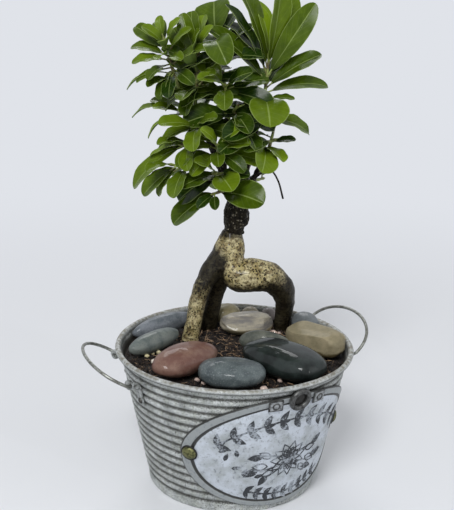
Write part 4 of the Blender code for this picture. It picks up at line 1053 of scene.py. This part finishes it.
def wet_stone(name, look):
    """Wet river stone: mineral patches, a few bands and fine grains under a film of water."""
    material, add, shader, mm = start_material("wet_" + name)
    spread = add("Mapping", {"Vector": mm, "Scale": look.stretch})
    patch = add("TexNoise", {"Vector": spread, "Scale": 1 / look.patch_size, "Detail": 5.0,
            "Roughness": 0.6})
    base = lay(add, linear(look.main), linear(look.patch), patch, 0.4, 0.62)
    grain = add("TexNoise", {"Vector": mm, "Scale": 1 / look.grain_size, "Detail": 3.0,
            "Roughness": 0.75})
    grained = lay(add, base, linear(look.grain), grain, 0.56, 0.68, look.grain_share)
    height = add("SeparateXYZ", {0: mm}).outputs["Z"]
    waved = add("Math", {0: patch, 1: -5.0, 2: 2.5}, operation="MULTIPLY_ADD")
    level = add("Math", {0: height, 1: waved})
    split = SOIL_LEVEL + look.split
    whole = lay(add, grained, linear(look.lower), level, split + 0.8, split - 0.8)
    dull = add("MapRange", {0: grain, 3: look.roughness - 0.08, 4: look.roughness + 0.12})
    pores = add("Bump", {"Strength": 0.5, "Distance": 0.00018, "Height": grain})
    connect(shader, {"Base Color": whole, "Roughness": dull, "Normal": pores,
            "Coat Weight": look.wet, "Coat Roughness": 0.035, "Specular IOR Level": 0.12})
    return material


class BONSAI_OT_stones(bpy.types.Operator):
    """Lays the river stones and the grit on the peat"""
    bl_idname = "bonsai.stones"
    bl_label = "River stones"

    def execute(self, context):
        for stone in STONES:
            bm = bmesh.new()
            bmesh.ops.create_icosphere(bm, subdivisions=6, radius=1)
            a, b, c = stone.half_sizes
            seed = Vector((stone.x, stone.y, 0))
            look = stone.look
            for vert in bm.verts:
                way = vert.co.copy()
                wave = 1 + 0.05 * noise.noise(way * 1.3 + seed)
                wave += look.worn * noise.noise(way * 2.6 + seed * 2)
                boxy = [copysign(abs(part) ** look.square, part) for part in way]
                vert.co = Vector((boxy[0] * a, boxy[1] * b, boxy[2] * c)) * wave
            for way, reach in look.flats:
                # A worn flat: whatever stands out beyond the plane is drawn in
                normal = Vector(way).normalized()
                for vert in bm.verts:
                    over = vert.co.dot(normal) - reach
                    if over > 0:
                        vert.co -= normal * over * 0.85
            turn = Matrix.Rotation(radians(PLANT_TURN + stone.yaw), 4, "Z")
            tilt = Matrix.Rotation(radians(stone.pitch), 4, "Y")
            bmesh.ops.transform(bm, verts=bm.verts, matrix=turn @ tilt @ Matrix.Scale(MM, 4))
            lowest = min(vert.co.z for vert in bm.verts)
            seat = planted(stone.x, stone.y, SOIL_LEVEL + 0.2)
            bmesh.ops.translate(bm, verts=bm.verts, vec=(seat.x, seat.y, seat.z - lowest))
            add_piece("river_" + stone.name, bm, [wet_stone(stone.name, look)], [stone.name],
                    stone.name)
        for name, x, y, radius, look in GRIT:
            bm = bmesh.new()
            bmesh.ops.create_icosphere(bm, subdivisions=4, radius=radius * MM,
                    matrix=Matrix.Diagonal((1, 0.85, 0.75, 1)))
            for vert in bm.verts:
                vert.co *= 1 + 0.12 * noise.noise(vert.co / MM / radius * 1.4 + Vector((x, y, 0)))
            seat = planted(x, y, SOIL_LEVEL + 0.3 + radius * 0.75)
            bmesh.ops.translate(bm, verts=bm.verts, vec=seat)
            add_piece("loose_" + name, bm, [wet_stone(name, look)], [name], name)
        for (tint, places), (*_, look) in zip(GRAVEL.items(), GRIT):
            bm = bmesh.new()
            for x, y, radius in places:
                spot = Matrix.Translation(planted(x, y, SOIL_LEVEL + 1.6))
                turn = Matrix.Rotation(x + y, 4, (0.3, 0.2, 1))
                stretch = Matrix.Diagonal((1.15, 0.9, 0.75, 1))
                pebble = bmesh.ops.create_icosphere(bm, subdivisions=3, radius=radius * MM)
                for vert in pebble["verts"]:
                    vert.co *= 1 + 0.2 * noise.noise(vert.co / MM / radius + Vector((x, y, 0)))
                bmesh.ops.transform(bm, matrix=spot @ turn @ stretch, verts=pebble["verts"])
            add_piece("gravel_" + tint, bm, [wet_stone("gravel_" + tint, look)], slot="peat_soil")
        return {"FINISHED"}


# Trunk and scion ------------------------------------------------------------------------------

def ficus_bark(settings):
    """Smooth khaki bark with dark lenticels; black-brown where the shade attribute is high:
    painted shade on shaded limbs and undersides, and dark weathered bark.
    """
    material, add, shader, mm = start_material("khaki_ficus_bark")
    shade = add("Attribute", attribute_name="shade")
    mottle = add("TexNoise", {"Vector": mm, "Scale": 1 / 7, "Detail": 5.0, "Roughness": 0.65})
    cells = add("TexNoise", {"Vector": mm, "Scale": 1 / 1.5, "Detail": 4.0, "Roughness": 0.7})
    base = lay(add, settings.bark, linear("A09260"), mottle, 0.36, 0.66)
    pores = add("TexVoronoi", {"Vector": mm, "Scale": 1 / 1.8})
    dots = add("MapRange", {0: pores, 1: 0.42, 2: 0.3})
    sparse = add("MapRange", {0: mottle, 1: 0.4, 2: 0.5})
    spots = add("Math", {0: dots, 1: sparse}, operation="MULTIPLY")
    flat = add("Mapping", {"Vector": mm, "Scale": (0.22, 0.22, 1.0)})
    rings = add("TexNoise", {"Vector": flat, "Scale": 1 / 1.3, "Detail": 3.0})
    wrinkles = add("MapRange", {0: rings, 1: 0.55, 2: 0.66, 4: 0.6})
    stain = add("TexNoise", {"Vector": mm, "Scale": 1 / 3.4, "Detail": 4.0, "Roughness": 0.7})
    stained = lay(add, base, linear("5C4826"), stain, 0.44, 0.6, 0.8)
    fine = add("MapRange", {0: cells, 1: 0.56, 2: 0.62, 4: 0.85})
    rough_spots = add("Math", {0: spots, 1: fine}, operation="MAXIMUM")
    specks = add("Math", {0: rough_spots, 1: wrinkles}, operation="MAXIMUM")
    speckled = add("Mix", {0: specks, 6: stained, 7: linear("1C170F")}, data_type="RGBA")
    ragged = add("Math", {0: mottle, 1: 0.7, 2: -0.35}, operation="MULTIPLY_ADD")
    darker = add("Math", {0: shade.outputs["Fac"], 1: ragged})
    # Painted shade: black-brown where the shade attribute is high, together with dark weathered
    # bark
    whole = lay(add, speckled, settings.dark_bark_and_shade, darker, 0.25, 0.7, 0.94)
    rough = add("MapRange", {0: cells, 3: 0.28, 4: 0.62})
    grain = add("Bump", {"Strength": 0.8, "Distance": 0.0006, "Height": cells})
    connect(shader, {"Base Color": whole, "Roughness": rough, "Normal": grain,
            "Specular IOR Level": 0.1, "Coat Weight": 0.18, "Coat Roughness": 0.1})
    return material


def scion_bark(settings):
    """Rough dark bark with pale flecks, which also serve as painted glints of wet bark."""
    material, add, shader, mm = start_material("rough_scion_bark")
    mottle = add("TexNoise", {"Vector": mm, "Scale": 1 / 4, "Detail": 5.0, "Roughness": 0.7})
    flecks = add("TexNoise", {"Vector": mm, "Scale": 1 / 1.9, "Detail": 3.0, "Roughness": 0.7})
    base = lay(add, settings.scion, linear("2C271C"), mottle, 0.4, 0.68)
    # Pale flecks, partly painted highlights standing for wet glints
    whole = lay(add, base, linear("A29A88"), flecks, 0.59, 0.65, 0.75)
    grain = add("Bump", {"Strength": 1.0, "Distance": 0.0014, "Height": flecks})
    connect(shader, {"Base Color": whole, "Normal": grain, "Roughness": 0.55,
            "Specular IOR Level": 0.1})
    return material


def grown(name, limbs, voxel, materials, nodes, slot, lumps):
    """Tubes along the limbs grown into one skin, with lumps as (size, height) millimetres."""
    bm = bmesh.new()
    for limb in limbs:
        add_tube(bm, smooth_line(limb, 6), 20)
    bmesh.ops.transform(bm, matrix=PLANTING, verts=bm.verts)
    piece = add_piece(name, bm, materials, nodes, slot)
    skin = piece.modifiers.new("skin", "REMESH")
    skin.mode = "VOXEL"
    skin.voxel_size = voxel * MM
    soft = piece.modifiers.new("soft", "SMOOTH")
    soft.factor = 0.6
    soft.iterations = 6
    apply_modifiers(piece)
    bm = bmesh.new()
    bm.from_mesh(piece.data)
    bm.normal_update()
    for vert in bm.verts:
        place = vert.co / MM
        rise = sum(height * noise.noise(place / size) for size, height in lumps)
        vert.co += vert.normal * rise * MM
    bm.to_mesh(piece.data)
    bm.free()
    piece.data.shade_smooth()
    return piece


def shade_by_limb(piece, limbs, shades):
    """Writes "shade" from the nearest limb's own shades, one for each of its points."""
    rows = []
    for limb, values in zip(limbs, shades):
        parts = 6
        line = smooth_line(limb, parts)
        for index, (place, _) in enumerate(line):
            step = min(index / parts, len(values) - 1)
            low = int(step)
            high = min(low + 1, len(values) - 1)
            shade = values[low] + (values[high] - values[low]) * (step - low)
            rows.append((planted(*place), shade))
    tree = KDTree(len(rows))
    for index, (place, _) in enumerate(rows):
        tree.insert(place, index)
    tree.balance()
    layer = piece.data.attributes.new("shade", "FLOAT", "POINT")
    for vert, item in zip(piece.data.vertices, layer.data):
        near = tree.find_n(vert.co, 6)
        weights = [1 / max(distance, 1e-5) ** 2 for _, _, distance in near]
        total = sum(weight * rows[index][1] for (_, index, _), weight in zip(near, weights))
        # Painted shade: the shade grows where the bark faces down
        item.value = total / sum(weights) + max(0.0, -vert.normal.z - 0.05) * 0.9


class BONSAI_OT_trunk(bpy.types.Operator):
    """Grows the swollen roots and the grafted branches"""
    bl_idname = "bonsai.trunk"
    bl_label = "Trunk and branches"

    def execute(self, context):
        settings = context.scene.bonsai_tree
        limbs = (CAUDEX, LIT_ROOT, DARK_ROOT, ARM_ROOT)
        trunk = grown("swollen_trunk", limbs, 0.9, [ficus_bark(settings)], ["trunk"], "ficus_bark",
                ((14, 1.1), (5, 0.45), (1.8, 0.15)))
        # Painted shade and dark bark for each limb's points, from its top down
        shade_by_limb(trunk, limbs, ((1.0, 0.12, 0.2, 0.5), (1.0, 0.85, 0.36, 0.2),
                (0.9, 1.0, 1.0, 1.0), (0.2, 0.1, 0.1, 0.35, 0.85, 1.0, 1.0, 1.0)))
        branches = [STUB] + list(BRANCHES.values())
        grown("grafted_branches", branches, 0.55, [scion_bark(settings)], ["scion"], "scion_bark",
                ((5, 1.0), (2.2, 0.6)))
        thread = bmesh.new()
        add_tube(thread, smooth_line(THREAD, 6), 8)
        bmesh.ops.transform(thread, matrix=PLANTING, verts=thread.verts)
        add_piece("hanging_thread", thread, [scion_bark(settings)], slot="scion_bark")
        return {"FINISHED"}


# Foliage --------------------------------------------------------------------------------------

def glossy_leaf(settings):
    """Leathery upper face: waxy green with a pale midrib and fine side veins, a painted highlight
    along the edge and painted shade towards the foot.
    """
    material, add, shader, mm = start_material("glossy_ficus_leaf")
    uv = add("UVMap", uv_map="blade")
    axes = add("SeparateXYZ", {0: uv})
    tone = add("Attribute", attribute_name="tone")
    middle = add("Math", {0: axes.outputs["X"], 1: 0.5}, operation="SUBTRACT")
    aside = add("Math", {0: middle}, operation="ABSOLUTE")
    mottle = add("TexNoise", {"Vector": mm, "Scale": 1 / 7, "Detail": 4.0})
    uneven = add("Math", {0: mottle, 1: 0.5, 2: -0.25}, operation="MULTIPLY_ADD")
    age = add("Math", {0: tone.outputs["Fac"], 1: uneven}, use_clamp=True)
    blade = add("Mix", {0: age, 6: settings.mature, 7: settings.young}, data_type="RGBA")
    rank = add("Math", {0: axes.outputs["Y"], 1: 11.0}, operation="MULTIPLY")
    slant = add("Math", {0: aside, 1: -4.5, 2: rank}, operation="MULTIPLY_ADD")
    wave = add("Math", {0: slant, 1: 0.5}, operation="PINGPONG")
    veins = add("MapRange", {0: wave, 1: 0.09, 2: 0.0, 4: 0.07})
    veined = add("Mix", {0: veins, 6: blade, 7: settings.vein_and_edge_light}, data_type="RGBA")
    rib = add("MapRange", {0: aside, 1: 0.03, 2: 0.01, 4: 0.4})
    ribbed = add("Mix", {0: rib, 6: veined, 7: settings.vein_and_edge_light}, data_type="RGBA")
    # Painted highlight along the blade's edge, in the vein colour
    edge_highlit = lay(add, ribbed, settings.vein_and_edge_light, aside, 0.47, 0.495, 0.4)
    # Painted shade towards the blade's foot, deeper in the crown
    foot_shaded = lay(add, edge_highlit, linear("101C06"), axes.outputs["Y"], 0.5, 0.0, 0.8)
    gloss = add("MapRange", {0: mottle, 3: 0.1, 4: 0.36})
    relief = add("Math", {0: veins, 1: rib})
    pressed = add("Bump", {"Strength": 0.5, "Distance": 0.0003, "Height": relief}, invert=True)
    connect(shader, {"Base Color": foot_shaded, "Roughness": gloss, "Normal": pressed,
            "Specular IOR Level": 0.13})
    return material


def matt_underside(settings):
    """Pale matt underside, yellower on a young leaf."""
    material, add, shader, mm = start_material("matt_leaf_underside")
    tone = add("Attribute", attribute_name="tone")
    mottle = add("TexNoise", {"Vector": mm, "Scale": 1 / 6, "Detail": 3.0})
    mixed = add("Math", {0: tone.outputs["Fac"], 1: mottle}, operation="MULTIPLY", use_clamp=True)
    base = add("Mix", {0: mixed, 6: settings.underside, 7: settings.young}, data_type="RGBA")
    connect(shader, {"Base Color": base, "Roughness": 0.6})
    return material


def green_stem():
    """Young stem and petiole: olive green going brown."""
    material, add, shader, mm = start_material("green_stem")
    patch = add("TexNoise", {"Vector": mm, "Scale": 1 / 5, "Detail": 3.0})
    base = lay(add, linear("8A9A4C"), linear("55482C"), patch, 0.4, 0.65)
    connect(shader, {"Base Color": base, "Roughness": 0.5})
    return material


def direction(bearing, rise):
    flat = cos(radians(rise))
    return Vector((flat * cos(radians(bearing)), flat * sin(radians(bearing)), sin(radians(rise))))


def shoot_line(shoot):
    """Start and tip of a shoot, seated on its branch."""
    line = smooth_line(BRANCHES[shoot.branch], 8)
    last = len(line) - 1
    index = min(last - 1, int(shoot.along * last))
    share = shoot.along * last - index
    (low, low_radius), (high, high_radius) = line[index], line[index + 1]
    centre = low.lerp(high, share)
    radius = low_radius + (high_radius - low_radius) * share
    way = direction(shoot.bearing, shoot.rise)
    start = centre if shoot.along == 1.0 else centre + way * radius * 0.6
    tip = centre + way * (shoot.length + radius + SHOOT_RADIUS)
    return start, tip


def add_leaf(bm, root, leaf, rng):
    """A leaf from its petiole's foot: curved, folded along the midrib, with rippled edges."""
    way = direction(leaf.bearing, leaf.rise)
    outward = Vector((root.x - CROWN_MIDDLE[0], root.y - CROWN_MIDDLE[1], 0)).normalized()
    light = Vector((0, 0, 1)) + outward * 0.5 + Vector((0, -0.45, 0))
    face = (light - way * way.dot(light)).normalized()
    face = Matrix.Rotation(radians(leaf.roll + rng.uniform(-10, 10)), 3, way) @ face
    side = way.cross(face)
    bend = radians(leaf.bend + rng.uniform(-10, 10))
    ripple, phase = rng.uniform(0.2, 0.7), rng.uniform(0, 2 * pi)
    tone = bm.verts.layers.float["tone"]
    foot = root + way * PETIOLE
    add_tube(bm, [(root, 0.85), (root.lerp(foot, 0.5), 0.6), (foot + way * 1.5, 0.55)], 6, 2)
    blade = bmesh.ops.create_grid(bm, x_segments=8, y_segments=16, size=1, calc_uvs=True)
    age = min(1.0, max(0.0, leaf.tone + rng.uniform(-0.12, 0.12)))
    for vert in blade["verts"]:
        across, share = vert.co.x, (1 - cos(pi * (vert.co.y + 1) / 2)) / 2
        angle = bend * share
        # Broadest beyond the middle, with a short point
        wide = share ** 0.8 * (1 - share) ** 0.52 / BLADE_PEAK
        half = max(0.3, leaf.length * leaf.width / 2 * wide)
        lift = half * LEAF_FOLD * abs(across)
        lift += ripple * across * across * sin(5 * pi * share + phase) * min(1.0, half / 5)
        normal = face * cos(angle) + way * sin(angle)
        middle = (foot + way * leaf.length * sin(angle) / bend
                  - face * leaf.length * (1 - cos(angle)) / bend)
        vert.co = middle + side * across * half + normal * lift
        vert[tone] = age
    return {f for v in blade["verts"] for f in v.link_faces}


class BONSAI_OT_foliage(bpy.types.Operator):
    """Grows every shoot with its twig, leaves and bud"""
    bl_idname = "bonsai.foliage"
    bl_label = "Foliage"

    def execute(self, context):
        settings = context.scene.bonsai_tree
        upper, lower, stem = glossy_leaf(settings), matt_underside(settings), green_stem()
        for shoot in SHOOTS:
            rng = random.Random(shoot.name)
            start, tip = shoot_line(shoot)
            bm = bmesh.new()
            bm.loops.layers.uv.new("blade")
            bm.verts.layers.float.new("tone")
            blades = set()
            for index, row in enumerate(shoot.leaves):
                root = start.lerp(tip, 0.2 + 0.77 * index / (len(shoot.leaves) - 1))
                blades |= add_leaf(bm, root, Leaf(*row), rng)
            sag = Vector((0, 0, -0.02 * (tip - start).length))
            twig = [(start, SHOOT_RADIUS * 1.1), (start.lerp(tip, 0.33) + sag, SHOOT_RADIUS),
                    (start.lerp(tip, 0.66) + sag, SHOOT_RADIUS * 0.9), (tip, SHOOT_RADIUS * 0.7)]
            add_tube(bm, twig, 8, 2)
            point = tip + (tip - start).normalized() * 5
            add_tube(bm, [(tip, 1.0), (tip.lerp(point, 0.4), 1.15), (point, 0.15)], 8, 2)
            bmesh.ops.transform(bm, matrix=PLANTING, verts=bm.verts)
            solid = [f for f in bm.faces if f not in blades]
            bmesh.ops.recalc_face_normals(bm, faces=solid)
            # A blade is a sheet: its upper side faces its own light, then it gets a thickness
            sheets = bmesh.ops.solidify(bm, geom=list(blades), thickness=LEAF_SHEET * MM)["geom"]
            for face in sheets:
                if isinstance(face, bmesh.types.BMFace) and face not in blades:
                    face.material_index = 1
            add_piece("leaves_" + shoot.name, bm, [upper, lower, stem], [shoot.name], "ficus_leaf",
                    crease=60, closed=False)
        return {"FINISHED"}


# Stage ----------------------------------------------------------------------------------------

def seen_directly(add):
    """1 for rays from the camera, and for those that metal and glass send on."""
    rays = add("LightPath").outputs
    mirrored = add("Math", {0: rays["Is Glossy Ray"], 1: rays["Is Transmission Ray"]},
            operation="MAXIMUM")
    return add("Math", {0: rays["Is Camera Ray"], 1: mirrored}, operation="MAXIMUM")


def matt_floor(settings):
    """Matt floor that keeps the shadow and shows the plain backdrop away from it."""
    material, add, shader, mm = start_material("matt_floor")
    connect(shader, {"Base Color": settings.floor, "Roughness": 0.9})
    away = add("VectorMath", {0: mm}, operation="LENGTH")
    far = add("MapRange", {0: away, 1: SHADOW_REACH, 2: BACKDROP_START},
            interpolation_type="SMOOTHSTEP")
    plain = add("Math", {0: far, 1: seen_directly(add)}, operation="MULTIPLY")
    glow = add("Emission", {0: settings.backdrop})
    both = add("MixShader", {0: plain, 1: shader, 2: glow})
    connect(material.node_tree.nodes["Material Output"], {0: both})
    return material


def pale_surround(settings):
    """World of soft pale light, with the plain backdrop behind the object."""
    world = bpy.data.worlds.new("pale_surround")
    world.use_nodes = True
    add = partial(add_node, world.node_tree)
    soft = add("Background", {0: linear("EDEFF2"), 1: 0.43})
    plain = add("Background", {0: settings.backdrop, 1: 1.0})
    both = add("MixShader", {0: seen_directly(add), 1: soft, 2: plain})
    connect(world.node_tree.nodes["World Output"], {0: both})
    return world


class BONSAI_OT_stage(bpy.types.Operator):
    """Sets up the floor, the lamps, the world and the camera"""
    bl_idname = "bonsai.stage"
    bl_label = "Stage"

    def execute(self, context):
        settings = context.scene.bonsai_stage
        scene = context.scene
        bm = bmesh.new()
        bmesh.ops.create_grid(bm, x_segments=2, y_segments=2, size=FLOOR_REACH)
        mesh = bpy.data.meshes.new("floor")
        bm.to_mesh(mesh)
        bm.free()
        floor = bpy.data.objects.new("floor", mesh)
        scene.collection.objects.link(floor)
        mesh.materials.append(matt_floor(settings))

        for name, place, size, share in LAMPS:
            lamp = bpy.data.lights.new(name, "AREA")
            lamp.shape = "DISK"
            lamp.size = size
            lamp.energy = settings.key_power * share
            item = bpy.data.objects.new(name, lamp)
            item.location = place
            aim = LAMP_AIM - item.location
            item.rotation_euler = aim.to_track_quat("-Z", "Y").to_euler()
            scene.collection.objects.link(item)
        scene.world = pale_surround(settings)

        lens = bpy.data.cameras.new("camera")
        lens.sensor_width = FILM_WIDTH
        lens.lens = LENS
        camera = bpy.data.objects.new("camera", lens)
        camera.matrix_world = (Matrix.Rotation(radians(PLANT_TURN), 4, "Z")
                               @ Matrix.Translation(CAMERA_PLACE)
                               @ Matrix.Rotation(radians(90 - CAMERA_FALL), 4, "X")
                               @ Matrix.Rotation(radians(CAMERA_ROLL), 4, "Z"))
        scene.collection.objects.link(camera)
        scene.camera = camera
        scene.view_settings.view_transform = "Standard"
        return {"FINISHED"}


class BONSAI_PT_panel(bpy.types.Panel):
    """Lists the steps that build the bonsai and their settings"""
    bl_idname = "BONSAI_PT_panel"
    bl_label = "Bonsai"
    bl_space_type = "VIEW_3D"
    bl_region_type = "UI"
    bl_category = "Bonsai"

    def draw(self, context):
        for attribute, (title, settings) in GROUPS.items():
            box = self.layout.box()
            box.label(text=title)
            for key in settings.__annotations__:
                box.prop(getattr(context.scene, attribute), key)
        for step in STEPS:
            self.layout.operator(step.bl_idname)


GROUPS = {
    "bonsai_bucket": ("Bucket", BucketSettings),
    "bonsai_label": ("Label", LabelSettings),
    "bonsai_planting": ("Planting", PlantingSettings),
    "bonsai_tree": ("Tree", TreeSettings),
    "bonsai_stage": ("Stage", StageSettings),
}
STEPS = (BONSAI_OT_bucket, BONSAI_OT_label, BONSAI_OT_label_fittings, BONSAI_OT_handles,
        BONSAI_OT_peat, BONSAI_OT_stones, BONSAI_OT_trunk, BONSAI_OT_foliage, BONSAI_OT_stage)
CLASSES = tuple(settings for _, settings in GROUPS.values()) + STEPS + (BONSAI_PT_panel,)


def register():
    for item in CLASSES:
        bpy.utils.register_class(item)
    for attribute, (_, settings) in GROUPS.items():
        setattr(bpy.types.Scene, attribute, bpy.props.PointerProperty(type=settings))


def unregister():
    for attribute in GROUPS:
        delattr(bpy.types.Scene, attribute)
    for item in reversed(CLASSES):
        bpy.utils.unregister_class(item)


def main():
    register()
    for step in STEPS:
        group, name = step.bl_idname.split(".")
        getattr(getattr(bpy.ops, group), name)()


if __name__ == "__main__":
    main()
